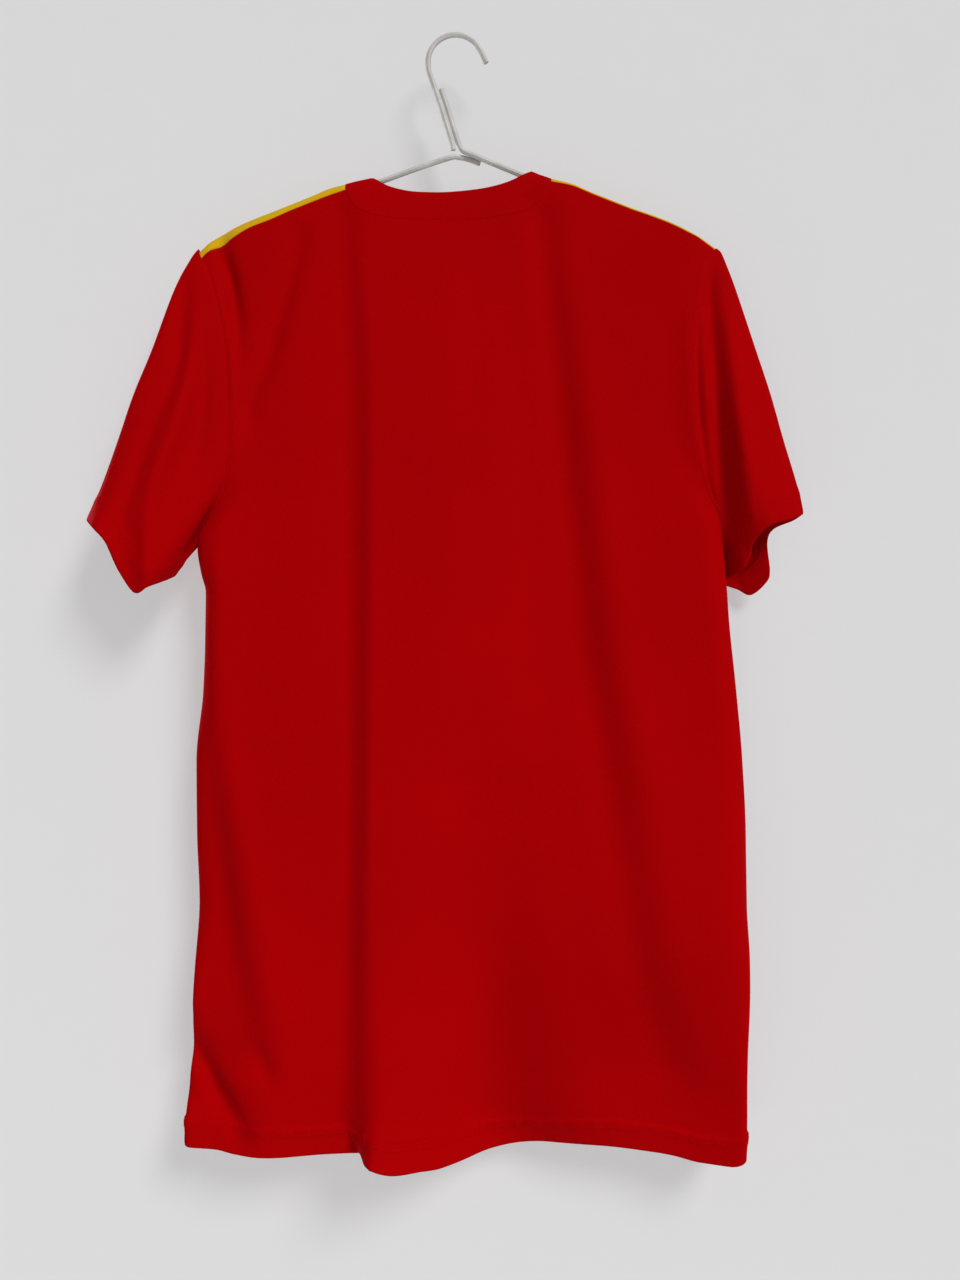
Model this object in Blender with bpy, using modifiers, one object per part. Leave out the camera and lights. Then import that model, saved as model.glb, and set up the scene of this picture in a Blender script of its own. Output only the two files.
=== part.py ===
"""A football jersey on a wire hanger, seen from its back, as solids in metres.

The origin is the seat of the hanger's hook, the underside of its top. +X runs to
the wearer's right, +Y towards the wall and the jersey's front, and +Z up.
Every cut and sewn piece is a thin wall of its own. Tables are in millimetres.
"""

import math
from collections import namedtuple

import bpy
import numpy as np

MM = 0.001

# Driving sizes
CLOTH = 1.2
SEAM_GAP = 0.3
SEAM_ROOM = 0.6
BAND_GAP = 0.45
WIRE_RADIUS = 2.15
NECK_LEFT_X = -86.5
NECK_RIGHT_X = 76.0
TIP_LEFT_X = -200.0
TIP_RIGHT_X = 207.5
UNDERARM_Z = -408.0
LINE_LEFT_X = -209.0
LINE_RIGHT_X = 226.0
EDGE_REACH = 0.3
LOWER_SPREAD = 1.12
SIDE_ROUND = 0.06
FOLD_FADE = 28.0
SLEEVE_ROLL = 3.0
SLEEVE_FOLD_EDGE = 0.12
SLEEVE_FOLD_START = 0.08
SEAM_START = 30.0
SEAM_BLEND = 40.0
UNDERARM_REACH = 60.0

# Colours
RED = (0.34, 0.001, 0.002)
DARK_RED = (0.32, 0.001, 0.002)
YELLOW = (0.58, 0.34, 0.003)
OFF_WHITE = (0.72, 0.72, 0.7)

# Grid counts
ARMHOLE_ROWS = 11
SIDE_ROWS = 16
SIDE_COLUMNS = 4
SHOULDER_COLUMNS = 7
NECK_COLUMNS = 14
CREASE_COLUMNS = 10
CREASE_START = 0.27
CREASE_END = 0.335
CREASE_ROOM = 0.003
SHOULDER_BACK_ROWS = 4
SHOULDER_FRONT_ROWS = 6
SLEEVE_ROWS = 13
COLLAR_ROWS = 3
BAND_EDGE_POINTS = 200

# The body's two edges: the armholes down to the underarm, then the side seams.
# Depths are those of the edge of the back and of the front, and meet at the seams.
Edge = namedtuple("Edge", "level left right back front")
EDGES = (
    Edge(-164, -200.0, 207.5, 0.0, 0.0),
    Edge(-170, -200.0, 207.0, -3.5, 3.5),
    Edge(-177, -199.5, 201.5, -5.5, 5.5),
    Edge(-192, -192.0, 191.0, -9.5, 9.0),
    Edge(-222, -184.5, 184.0, -13.0, 13.0),
    Edge(-251, -178.0, 183.0, -15.0, 16.0),
    Edge(-293, -175.3, 184.5, -16.0, 17.0),
    Edge(-330, -175.3, 189.5, -16.0, 17.0),
    Edge(-350, -177.5, 194.0, -15.0, 16.0),
    Edge(-366, -182.5, 199.0, -12.5, 13.0),
    Edge(-387, -197.0, 209.0, -6.5, 7.0),
    Edge(-400, -204.0, 213.5, -2.0, 2.5),
    Edge(UNDERARM_Z, -205.5, 214.5, 0.0, 0.0),
    Edge(-430, -202.2, 216.0, 0.0, 0.0),
    Edge(-444, -198.6, 217.0, 0.0, 0.0),
    Edge(-466, -198.8, 218.0, 0.0, 0.0),
    Edge(-522, -200.8, 223.6, 0.0, 0.0),
    Edge(-578, -206.4, 228.4, 0.0, 0.0),
    Edge(-634, -206.0, 230.6, 0.0, 0.0),
    Edge(-690, -204.0, 230.6, 0.0, 0.0),
    Edge(-746, -206.0, 230.2, 0.0, 0.0),
    Edge(-802, -210.0, 232.0, 0.0, 0.0),
    Edge(-858, -214.0, 233.2, 0.0, 0.0),
    Edge(-886, -215.0, 232.4, 0.0, 0.0),
)

# How far the two panels hang from the hanger's plane, before their folds.
Hang = namedtuple("Hang", "level back front")
HANGS = (
    Hang(-110, -8.0, 10.0),
    Hang(-170, -9.0, 12.0),
    Hang(-250, -15.0, 17.0),
    Hang(-400, -17.0, 19.0),
    Hang(-600, -20.0, 20.0),
    Hang(-760, -22.0, 18.0),
    Hang(-886, -23.0, 14.0),
)

# The hem, level but for a sag at the two corners.
Hem = namedtuple("Hem", "across height")
HEM = (
    Hem(0.0, -878.0), Hem(0.06, -880.0), Hem(0.14, -881.0), Hem(0.27, -880.7), Hem(0.33, -879.6),
    Hem(0.5, -878.5), Hem(0.75, -878.2), Hem(0.93, -880.5), Hem(1.0, -884.0),
)

# Upper edges of the panels, and the ridge of the shoulders above the wire.
Top = namedtuple("Top", "across back ridge front")
LEFT_SHOULDER = (
    Top(-200.0, -176.2, -168.0, -190.0),
    Top(-180.0, -166.0, -155.4, -181.0),
    Top(-163.0, -155.8, -147.8, -174.0),
    Top(-147.0, -149.4, -141.4, -168.0),
    Top(-131.0, -142.2, -135.0, -162.0),
    Top(-115.0, -135.8, -128.6, -156.0),
    Top(-99.0, -129.6, -121.8, -150.0),
    Top(-86.5, -125.6, -118.8, -146.0),
)
RIGHT_SHOULDER = (
    Top(76.0, -118.6, -114.8, -138.0),
    Top(92.0, -121.6, -119.0, -142.0),
    Top(108.0, -128.2, -126.0, -148.0),
    Top(124.0, -134.6, -132.4, -155.0),
    Top(140.0, -141.0, -138.8, -161.0),
    Top(156.0, -146.8, -144.4, -167.0),
    Top(172.0, -153.2, -150.8, -173.0),
    Top(188.0, -161.2, -158.8, -181.0),
    Top(207.5, -171.6, -170.0, -190.0),
)

# The neck band, from its seam to its free edge, round the neck from the left shoulder.
Band = namedtuple("Band", "seam_x seam_z edge_x edge_z depth")
BACK_BAND = (
    Band(-86.5, -125.6, -67.5, -113.0, 0.0),
    Band(-83.0, -133.4, -63.0, -116.4, -6.5),
    Band(-77.0, -140.4, -52.5, -122.6, -9.5),
    Band(-66.0, -145.8, -38.0, -126.4, -10.0),
    Band(-42.0, -149.4, -24.5, -127.6, -10.3),
    Band(-10.0, -150.6, -7.0, -127.7, -10.5),
    Band(22.0, -149.0, 14.0, -125.7, -10.3),
    Band(49.0, -144.0, 29.0, -123.0, -10.0),
    Band(62.0, -138.0, 43.0, -118.6, -9.5),
    Band(71.0, -129.0, 54.0, -112.4, -6.5),
    Band(76.0, -118.6, 60.6, -107.6, 0.0),
)
FRONT_BAND = (
    Band(-86.5, -146.0, -67.5, -113.0, 0.0),
    Band(-86.0, -151.0, -67.4, -115.6, 5.0),
    Band(-84.0, -162.0, -67.0, -126.0, 8.5),
    Band(-77.0, -181.0, -62.0, -152.0, 12.5),
    Band(-62.0, -199.0, -51.0, -176.0, 14.0),
    Band(-38.0, -213.0, -33.0, -192.0, 14.5),
    Band(-5.0, -218.0, -5.0, -198.0, 14.5),
    Band(28.0, -213.0, 22.0, -192.0, 14.5),
    Band(52.0, -199.0, 41.0, -175.0, 14.0),
    Band(67.0, -180.0, 52.0, -150.0, 12.5),
    Band(74.0, -158.0, 57.0, -121.0, 8.5),
    Band(75.6, -143.0, 60.0, -110.2, 5.0),
    Band(76.0, -138.0, 60.6, -107.6, 0.0),
)

# Soft folds: a trough has a positive depth, away from the viewer of the back, and a
# ridge a negative one. Each has its line from the top down, as height and place.
Fold = namedtuple("Fold", "name depth_top depth_mid depth_foot width_top width_foot line")
BACK_FOLDS = (
    Fold("long_crease", 2.0, 3.5, 4.5, 9.0, 7.0,
         ((-150, -88), (-294, -77), (-420, -76), (-529, -76), (-645, -78), (-761, -81), (-890, -78))),
    Fold("slanting_trough", 4.0, 7.0, 5.0, 13.0, 17.0,
         ((-150, 73), (-253, 87), (-333, 98), (-419, 108), (-490, 116), (-569, 130),
          (-647, 143), (-726, 153), (-812, 180))),
    Fold("low_hollow", 2.0, 7.0, 15.0, 42.0, 46.0, ((-600, 82), (-760, 78), (-890, 74))),
    Fold("right_swell", -2.0, -10.0, -25.0, 22.0, 34.0, ((-600, 196), (-760, 196), (-890, 197))),
    Fold("left_swell", -1.0, -5.0, -13.0, 30.0, 36.0, ((-600, -140), (-760, -140), (-890, -146))),
    Fold("left_side_trough", 5.0, 6.0, 3.0, 13.0, 15.0,
         ((-500, -196), (-546, -188), (-650, -176), (-730, -162), (-800, -150))),
    Fold("corner_crease", 4.0, 11.0, 5.0, 9.0, 8.0, ((-786, -204), (-830, -184), (-880, -156))),
    Fold("shoulder_crease", 5.0, 7.0, 3.0, 7.0, 7.0,
         ((-170, -181), (-200, -174), (-226, -169), (-262, -171))),
    Fold("blade_crease", 3.0, 5.0, 4.0, 9.0, 10.0,
         ((-170, -125), (-233, -142), (-272, -153), (-296, -166))),
    Fold("middle_trough", 1.0, 2.0, 1.0, 14.0, 18.0, ((-200, 12), (-330, 16), (-470, 22))),
    Fold("left_panel_swell", -1.0, -3.0, -2.0, 26.0, 28.0, ((-240, -120), (-420, -122), (-600, -128))),
)
FRONT_FOLDS = (
    Fold("left_trough", -3.0, -8.0, -14.0, 16.0, 26.0, ((-230, -96), (-480, -110), (-890, -120))),
    Fold("left_ridge", 1.0, 4.0, 9.0, 20.0, 30.0, ((-300, -150), (-600, -158), (-890, -176))),
    Fold("middle_ridge", 2.0, 5.0, 11.0, 24.0, 40.0, ((-260, -30), (-560, -44), (-890, -52))),
    Fold("middle_trough", -2.0, -6.0, -13.0, 18.0, 30.0, ((-260, 34), (-560, 26), (-890, 34))),
    Fold("right_ridge", 1.0, 4.0, 10.0, 24.0, 36.0, ((-300, 96), (-600, 106), (-890, 110))),
    Fold("right_trough", -2.0, -5.0, -9.0, 14.0, 22.0, ((-260, 146), (-560, 164), (-890, 172))),
)

# The pleat to the right of the long crease: the cloth steps forward there.
Pleat = namedtuple("Pleat", "level start rise forward finish fall")
PLEAT = (
    Pleat(-150, -90.0, 20.0, 0.0, 0.0, 90.0),
    Pleat(-294, -79.0, 18.0, 3.0, 0.0, 90.0),
    Pleat(-420, -77.0, 16.0, 6.0, 0.0, 90.0),
    Pleat(-529, -76.0, 14.0, 9.0, 0.0, 90.0),
    Pleat(-645, -77.0, 13.0, 14.0, -2.0, 80.0),
    Pleat(-761, -79.0, 12.0, 24.0, -10.0, 60.0),
    Pleat(-886, -75.0, 12.0, 40.0, -20.0, 52.0),
)

# Left sleeve
Point = namedtuple("Point", "x z depth")
LEFT_CUFF_BACK = (
    Point(-290.6, -386.8, -8), Point(-279.0, -395.6, -23), Point(-267.0, -407.6, -33),
    Point(-255.5, -430.0, -39), Point(-246.0, -445.6, -36), Point(-237.0, -441.6, -26),
    Point(-228.0, -436.4, -15), Point(-224.0, -431.6, -4),
)
LEFT_CUFF_FRONT = (
    Point(-290.6, -386.8, -8), Point(-284.0, -390.0, 5), Point(-272.0, -400.0, 14),
    Point(-258.0, -417.0, 19), Point(-245.0, -430.0, 17), Point(-233.0, -431.0, 9),
    Point(-224.0, -431.6, -4),
)
LEFT_OUTER = (
    Point(-203.3, -167.6, 0), Point(-211.0, -179.0, -2), Point(-223.0, -203.5, -4),
    Point(-239.4, -251.5, -7), Point(-253.2, -287.5, -9), Point(-265.4, -323.5, -9),
    Point(-278.4, -359.5, -9), Point(-290.6, -386.8, -8),
)
LEFT_UNDER = (Point(-210.0, UNDERARM_Z, 0), Point(-215.0, -417.0, -3), Point(-224.0, -431.6, -4))
LEFT_SLEEVE_FOLDS = (
    Fold("outer_trough", 4.0, 9.0, 9.0, 8.0, 11.0,
         ((-210, -216), (-262, -220), (-304, -231), (-350, -241), (-384, -247),
          (-412, -243), (-440, -237))),
    Fold("inner_ridge", -2.0, -6.0, -6.0, 9.0, 9.0,
         ((-240, -209), (-304, -215), (-352, -226), (-402, -233), (-440, -230))),
    Fold("armhole_trough", 1.0, 3.0, 1.0, 8.0, 9.0, ((-250, -198), (-300, -199), (-350, -202))),
)

# Right sleeve
RIGHT_CUFF_BACK = (
    Point(275.6, -382.2, -8), Point(263.0, -387.4, -20), Point(247.6, -391.8, -26),
    Point(239.0, -398.0, -23), Point(233.0, -407.6, -17), Point(232.0, -417.0, -13),
    Point(228.0, -428.0, -8), Point(219.4, -436.0, 2),
)
RIGHT_CUFF_FRONT = (
    Point(275.6, -382.2, -8), Point(271.0, -386.0, 6), Point(259.0, -391.4, 19),
    Point(254.6, -401.5, 23), Point(257.0, -424.8, 20), Point(251.6, -435.0, 12),
    Point(238.5, -445.6, 3), Point(228.0, -441.0, 3), Point(219.4, -436.0, 2),
)
RIGHT_OUTER = (
    Point(210.8, -170.2, 0), Point(214.0, -180.6, -2), Point(221.4, -203.5, -4),
    Point(236.6, -251.5, -7), Point(248.2, -287.5, -9), Point(258.8, -323.5, -9),
    Point(269.8, -359.5, -9), Point(275.6, -382.2, -8),
)
RIGHT_UNDER = (Point(219.0, UNDERARM_Z, 0), Point(218.6, -422.0, 1), Point(219.4, -436.0, 2))
RIGHT_SLEEVE_FOLDS = (
    Fold("deep_trough", 5.0, 15.0, 9.0, 8.0, 12.0,
         ((-182, 207), (-236, 211), (-286, 217), (-336, 222), (-384, 227), (-420, 229))),
    Fold("armhole_ridge", -3.0, -4.0, -2.0, 5.0, 5.0,
         ((-200, 192), (-256, 191), (-310, 192), (-350, 198))),
    Fold("armhole_trough", 2.0, 4.0, 5.0, 5.0, 6.0,
         ((-236, 199), (-296, 199), (-336, 200), (-370, 206))),
    Fold("outer_swell", -2.0, -5.0, -5.0, 10.0, 14.0, ((-240, 226), (-310, 240), (-380, 256))),
)

# Hanger: two coated wires side by side in the stem, each a route from end to end.
FRAME_ROUTE = (
    (19.6, 3.7, -99.3), (10.6, 3.7, -96.0), (2.6, 2.4, -94.9), (-4.0, 0.4, -95.9),
    (-30.0, 0.0, -104.6), (-67.0, 0.0, -118.0),
    (-87.0, 0.0, -124.8), (-116.0, 0.0, -132.5), (-148.0, 0.0, -145.3), (-178.0, 0.0, -158.3),
    (-187.0, 0.0, -164.4), (-190.6, 0.0, -170.6), (-189.4, 0.0, -177.0), (-182.0, 0.0, -180.6),
    (-150.0, 0.0, -181.4), (-60.0, 0.0, -183.0), (40.0, 0.0, -184.8), (150.0, 0.0, -186.8),
    (186.0, 0.0, -187.2), (194.6, 0.0, -184.6), (198.6, 0.0, -178.0), (197.0, 0.0, -170.6),
    (188.0, 0.0, -162.2), (156.0, 0.0, -148.4), (124.0, 0.0, -136.2), (92.0, 0.0, -123.2),
    (76.0, 0.0, -119.2), (52.0, 0.0, -110.0), (14.0, 0.0, -94.2), (6.0, 0.0, -90.5), (2.3, 0.0, -84.4),
    (-1.8, 0.0, -71.4), (-7.5, 0.0, -53.0), (-11.4, 0.0, -41.6),
)
HOOK_ARC_RADIUS = 22.0
HOOK_ARC_FROM, HOOK_ARC_TO = 62.0, -96.0
HOOK_STEM = (
    (-21.4, -27.0), (-17.6, -38.2), (-12.0, -54.6), (-6.3, -73.0), (-2.4, -86.0), (-1.8, -90.2),
)
HOOK_TIP = ((21.2, -13.0), (24.6, -20.4))
HOOK_ARC_STEPS = 14
WIRE_STEPS_PER_SPAN = 3


def smooth(rows, key, value, where):
    """Monotone cubic curve through one named column of a table, at each place."""
    places = np.array([getattr(row, key) for row in rows], float)
    values = np.array([getattr(row, value) for row in rows], float)
    return monotone(places, values, where)


def monotone(places, values, where):
    """Monotone cubic curve through values at places, flat beyond its ends."""
    order = np.argsort(places)
    places, values = places[order], values[order]
    step = np.diff(places)
    slope = np.diff(values) / step
    tangent = np.zeros(len(places))
    tangent[0], tangent[-1] = slope[0], slope[-1]
    for i in range(1, len(places) - 1):
        before, after = slope[i - 1], slope[i]
        if before * after > 0:
            tangent[i] = 2 * before * after / (before + after)
    where = np.clip(np.asarray(where, float), places[0], places[-1])
    span = np.clip(np.searchsorted(places, where, side="right") - 1, 0, len(step) - 1)
    t = (where - places[span]) / step[span]
    low, high = values[span], values[span + 1]
    lean_low, lean_high = tangent[span] * step[span], tangent[span + 1] * step[span]
    return (
        (2 * t**3 - 3 * t**2 + 1) * low + (t**3 - 2 * t**2 + t) * lean_low
        + (3 * t**2 - 2 * t**3) * high + (t**3 - t**2) * lean_high
    )


def ease(t):
    """0 to 1 along a soft S."""
    t = np.clip(t, 0.0, 1.0)
    return t * t * (3 - 2 * t)


def between(a, b, c, d, t):
    """The place t of the way from b to c, on a smooth curve through all four."""
    return b + 0.5 * t * (c - a + t * (2 * a - 5 * b + 4 * c - d + t * (3 * (b - c) + d - a)))


def through(points, count):
    """Count points evenly along a smooth curve through the given ones."""
    points = np.array(points, float)
    length = np.concatenate([[0], np.cumsum(np.linalg.norm(np.diff(points, axis=0), axis=1))])
    where = np.linspace(0, length[-1], count)
    padded = np.vstack([2 * points[0] - points[1], points, 2 * points[-1] - points[-2]])
    span = np.clip(np.searchsorted(length, where, side="right") - 1, 0, len(points) - 2)
    t = ((where - length[span]) / (length[span + 1] - length[span]))[:, None]
    a, b, c, d = (padded[span + i] for i in range(4))
    return between(a, b, c, d, t)


def fold_depth(folds, x, z):
    """How far the folds move the cloth at a place, in depth."""
    total = np.zeros(np.shape(x))
    for fold in folds:
        heights = np.array([height for height, _ in fold.line], float)
        places = np.array([place for _, place in fold.line], float)
        top, foot = heights[0], heights[-1]
        middle = (top + foot) / 2
        centre = monotone(heights, places, z)
        depth = monotone(np.array([top, middle, foot]),
                         np.array([fold.depth_top, fold.depth_mid, fold.depth_foot]), z)
        width = np.interp(z, (foot, top), (fold.width_foot, fold.width_top))
        fade = ease((top + FOLD_FADE - z) / FOLD_FADE) * ease((z - foot + FOLD_FADE) / FOLD_FADE)
        total += depth * np.exp(-(((x - centre) / width) ** 2)) * fade
    return total


def pleat_depth(x, z):
    """The forward step of the back to the right of its long crease."""
    start = smooth(PLEAT, "level", "start", z)
    rise = smooth(PLEAT, "level", "rise", z)
    finish = smooth(PLEAT, "level", "finish", z)
    fall = smooth(PLEAT, "level", "fall", z)
    up = ease((x - start) / rise)
    down = 1 - ease((x - finish) / fall)
    return -smooth(PLEAT, "level", "forward", z) * up * down


def from_side(u, z):
    """0 at a panel's edge and 1 where its flat part starts: round at a seam, soft at an armhole."""
    near = np.clip(np.minimum(u, 1 - u) / SIDE_ROUND, 0, 1)
    seam = ease((UNDERARM_Z + SEAM_START - z) / SEAM_BLEND)
    return seam * np.sqrt(1 - (1 - near) ** 2) + (1 - seam) * np.sin(near * math.pi / 2)


def across(u, z):
    """The place from the left edge to the right one. Only what is near an edge follows its curve."""
    down = (z - EDGES[0].level) / (EDGES[-1].level - EDGES[0].level)
    left = TIP_LEFT_X + (LINE_LEFT_X - TIP_LEFT_X) * down
    right = TIP_RIGHT_X + (LINE_RIGHT_X - TIP_RIGHT_X) * down
    from_left = smooth(EDGES, "level", "left", z) + SEAM_GAP / 2 - left
    from_right = smooth(EDGES, "level", "right", z) - SEAM_GAP / 2 - right
    near_left = 1 - ease(u / EDGE_REACH)
    near_right = 1 - ease((1 - u) / EDGE_REACH)
    return left + (right - left) * u + from_left * near_left + from_right * near_right


def back_depth(u, z):
    """Depth of the back panel."""
    edge = smooth(EDGES, "level", "back", z) - SEAM_ROOM / 2
    inward = from_side(u, z)
    x = across(u, z)
    flat = smooth(HANGS, "level", "back", z) + fold_depth(BACK_FOLDS, x, z) + pleat_depth(x, z)
    return edge + (flat - edge) * inward


def front_depth(u, z):
    """Depth of the front panel."""
    edge = smooth(EDGES, "level", "front", z) + SEAM_ROOM / 2
    inward = from_side(u, z)
    flat = smooth(HANGS, "level", "front", z) + fold_depth(FRONT_FOLDS, across(u, z), z)
    return edge + (flat - edge) * inward


def top_edge(x, column, band):
    """Upper edge of a panel: shoulder, neck seam, shoulder."""
    left = smooth(LEFT_SHOULDER, "across", column, x)
    right = smooth(RIGHT_SHOULDER, "across", column, x)
    neck = smooth(band, "seam_x", "seam_z", x)
    height = np.where(x < NECK_LEFT_X, left, np.where(x > NECK_RIGHT_X, right, neck))
    return height - SEAM_GAP


def columns_across(creased):
    """Fractions across a panel: sides, shoulders, the neck between its corners, and a crease."""
    span = TIP_RIGHT_X - TIP_LEFT_X
    neck_left = (NECK_LEFT_X - TIP_LEFT_X) / span
    neck_right = (NECK_RIGHT_X - TIP_LEFT_X) / span
    side = SIDE_ROUND * (1 - np.cos(np.linspace(0, math.pi / 2, SIDE_COLUMNS + 1)))
    left = np.linspace(SIDE_ROUND, neck_left, SHOULDER_COLUMNS)
    right = np.linspace(neck_right, 1 - SIDE_ROUND, SHOULDER_COLUMNS)
    turn = np.linspace(0, math.pi, NECK_COLUMNS + 1)
    neck = neck_left + (neck_right - neck_left) * (1 - np.cos(turn)) / 2
    if creased:
        crease = np.linspace(CREASE_START, CREASE_END, CREASE_COLUMNS)
        neck = neck[(neck < CREASE_START - CREASE_ROOM) | (neck > CREASE_END + CREASE_ROOM)]
        left = left[left < CREASE_START]
        neck = np.concatenate([[neck_left], crease[crease > neck_left + CREASE_ROOM], neck[1:]])
    return np.unique(np.round(np.concatenate([side, left, neck, right, 1 - side]), 6))


def panel_grid(columns, column, band, depth):
    """A body panel as a grid from its upper edge, past the underarm level, to the hem."""
    top_x = TIP_LEFT_X + (TIP_RIGHT_X - TIP_LEFT_X) * columns
    top = top_edge(top_x, column, band)[None, :]
    upper = top + (UNDERARM_Z - top) * np.linspace(0, 1, ARMHOLE_ROWS)[:, None]
    hem = smooth(HEM, "across", "height", columns)[None, :]
    lower = UNDERARM_Z + (hem - UNDERARM_Z) * np.linspace(0, 1, SIDE_ROWS)[1:, None] ** LOWER_SPREAD
    z = np.concatenate([upper, lower])
    u = np.broadcast_to(columns, z.shape)
    return np.stack([across(u, z), depth(u, z), z], axis=-1)


def shell(name, grid, closed, flip=False):
    """A thin wall on a grid of points, closed round its rows or open."""
    rows, columns = grid.shape[:2]
    faces = []
    for i in range(rows - 1):
        for j in range(columns if closed else columns - 1):
            k = (j + 1) % columns
            face = (i * columns + j, (i + 1) * columns + j, (i + 1) * columns + k, i * columns + k)
            faces.append(face[::-1] if flip else face)
    mesh = bpy.data.meshes.new(name)
    mesh.from_pydata([tuple(point) for point in grid.reshape(-1, 3) * MM], [], faces)
    mesh.shade_smooth()
    obj = bpy.data.objects.new(name, mesh)
    wall = obj.modifiers.new("wall", "SOLIDIFY")
    wall.thickness = CLOTH * MM
    wall.offset = 0.0
    return obj


def shoulder_grid(side, back, front, columns):
    """A shoulder panel arched over the wire, between the seams of the back and the front."""
    table = LEFT_SHOULDER if side == "left" else RIGHT_SHOULDER
    neck_end, away = (-1, -1) if side == "left" else (0, 1)
    low, high = table[0].across, table[-1].across
    rows = []
    for grid, key, count in ((back, "back", SHOULDER_BACK_ROWS), (front, "front", SHOULDER_FRONT_ROWS)):
        top_x = TIP_LEFT_X + (TIP_RIGHT_X - TIP_LEFT_X) * columns[key]
        mine = (top_x > low - 1) & (top_x < high + 1)
        edge = grid[0][mine] + np.array([0, 0, SEAM_ROOM])
        height = smooth(table, "across", "ridge", top_x[mine])
        ridge = np.stack([top_x[mine], np.zeros(mine.sum()), height], axis=-1)
        turns = np.linspace(0, math.pi / 2, count + 1)
        weights = [np.array([1 - math.cos(turn), math.sin(turn), 1 - math.cos(turn)]) for turn in turns]
        rows.append([ridge + (edge - ridge) * weight for weight in weights])
    shape = np.array(rows[0][::-1] + rows[1][1:])
    shape[:, neck_end, 0] += away * SEAM_GAP
    return shape


def end_points(shoulder, column, back):
    """The end of a shoulder panel from its ridge down to its seam with the back or the front."""
    line = shoulder[:, column]
    ridge = SHOULDER_BACK_ROWS
    return line[ridge::-1] if back else line[ridge:]


def neck_points(grid):
    """A panel's upper edge between the corners of the neck."""
    edge = grid[0]
    inside = (edge[:, 0] > NECK_LEFT_X - 1) & (edge[:, 0] < NECK_RIGHT_X + 1)
    return edge[inside]


def band_grid(left, right, back, front):
    """The neck band as rings from its seam to its free edge."""
    halves = []
    for grid, rows, is_back in ((back, BACK_BAND, True), (front, FRONT_BAND, False)):
        seam = np.vstack([
            end_points(left, -1, is_back)[:-1], neck_points(grid), end_points(right, 0, is_back)[-2::-1],
        ])
        edge_rows = np.array([(row.edge_x, row.depth, row.edge_z) for row in rows])
        fine = through(edge_rows, BAND_EDGE_POINTS)
        run = np.concatenate([[0], np.cumsum(np.linalg.norm(np.diff(seam, axis=0), axis=1))])
        run = run / run[-1] * (len(fine) - 1)
        edge = np.stack([np.interp(run, np.arange(len(fine)), fine[:, k]) for k in range(3)], axis=-1)
        halves.append((seam, edge))
    seam = np.vstack([halves[0][0][:-1], halves[1][0][:0:-1]])
    edge = np.vstack([halves[0][1][:-1], halves[1][1][:0:-1]])
    towards = edge - seam
    towards /= np.linalg.norm(towards, axis=1)[:, None]
    seam = seam + towards * BAND_GAP
    return np.array([seam + (edge - seam) * t for t in np.linspace(0, 1, COLLAR_ROWS + 1)])


def armhole(shoulder, panel, side, is_back):
    """The armhole from the shoulder's ridge down to the underarm, one gap outside the body."""
    column, outward = (0, -1) if side == "left" else (-1, 1)
    arch = end_points(shoulder, column, is_back)[:-1]
    edge = panel[:ARMHOLE_ROWS, column]
    line = np.vstack([arch, edge])
    low = ease(1 - (line[:, 2] - UNDERARM_Z) / UNDERARM_REACH)
    line[:, 0] += outward * (SEAM_GAP + CLOTH * low)
    line[-1, 1] = 0.0
    return line


def patch(start, end, outer, under, rows):
    """Grid between an armhole and a cuff, with its outer fold and its underarm line."""
    t = np.linspace(0, 1, len(start))[None, :, None]
    v = np.linspace(0, 1, rows)[:, None, None]
    ruled = (1 - v) * start[None] + v * end[None]
    sides = (1 - t) * outer[:, None] + t * under[:, None]
    corners = (
        (1 - v) * ((1 - t) * outer[0] + t * under[0]) + v * ((1 - t) * outer[-1] + t * under[-1])
    )
    return ruled + sides - corners


def sleeve_grid(side, rings, cuffs, outer, under, folds):
    """A set-in sleeve as a tube from the armhole to the cuff."""
    outward = -1 if side == "left" else 1
    roll = np.array([outward * SLEEVE_ROLL, 0, 0])
    route = through([(p.x, p.depth, p.z) for p in outer], SLEEVE_ROWS)
    below = through([(p.x, p.depth, p.z) for p in under], SLEEVE_ROWS)
    route[0], below[0] = rings[0][0] + roll, rings[0][-1] + roll
    halves = []
    for ring, cuff, folded in zip(rings, cuffs, (True, False)):
        end = through([(p.x, p.depth, p.z) for p in cuff], len(ring))
        grid = patch(ring + roll, end, route, below, SLEEVE_ROWS)
        if folded:
            t = np.linspace(0, 1, len(ring))[None, :]
            inside = ease(np.minimum(t, 1 - t) / SLEEVE_FOLD_EDGE)
            settle = ease(np.linspace(0, 1, SLEEVE_ROWS) / SLEEVE_FOLD_START)[:, None]
            grid[..., 1] += fold_depth(folds, grid[..., 0], grid[..., 2]) * inside * settle
        halves.append(np.concatenate([ring[None], grid]))
    return np.concatenate([halves[0][:, :-1], halves[1][:, :0:-1]], axis=1)


def make_wire(name, points):
    """A coated wire along a route."""
    curve = bpy.data.curves.new(name, "CURVE")
    curve.dimensions = "3D"
    curve.bevel_depth = WIRE_RADIUS * MM
    curve.bevel_resolution = 2
    curve.use_fill_caps = True
    spline = curve.splines.new("POLY")
    spline.points.add(len(points) - 1)
    for slot, point in zip(spline.points, points):
        slot.co = (*(float(value) * MM for value in point), 1)
    spline.use_smooth = True
    return bpy.data.objects.new(name, curve)


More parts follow.
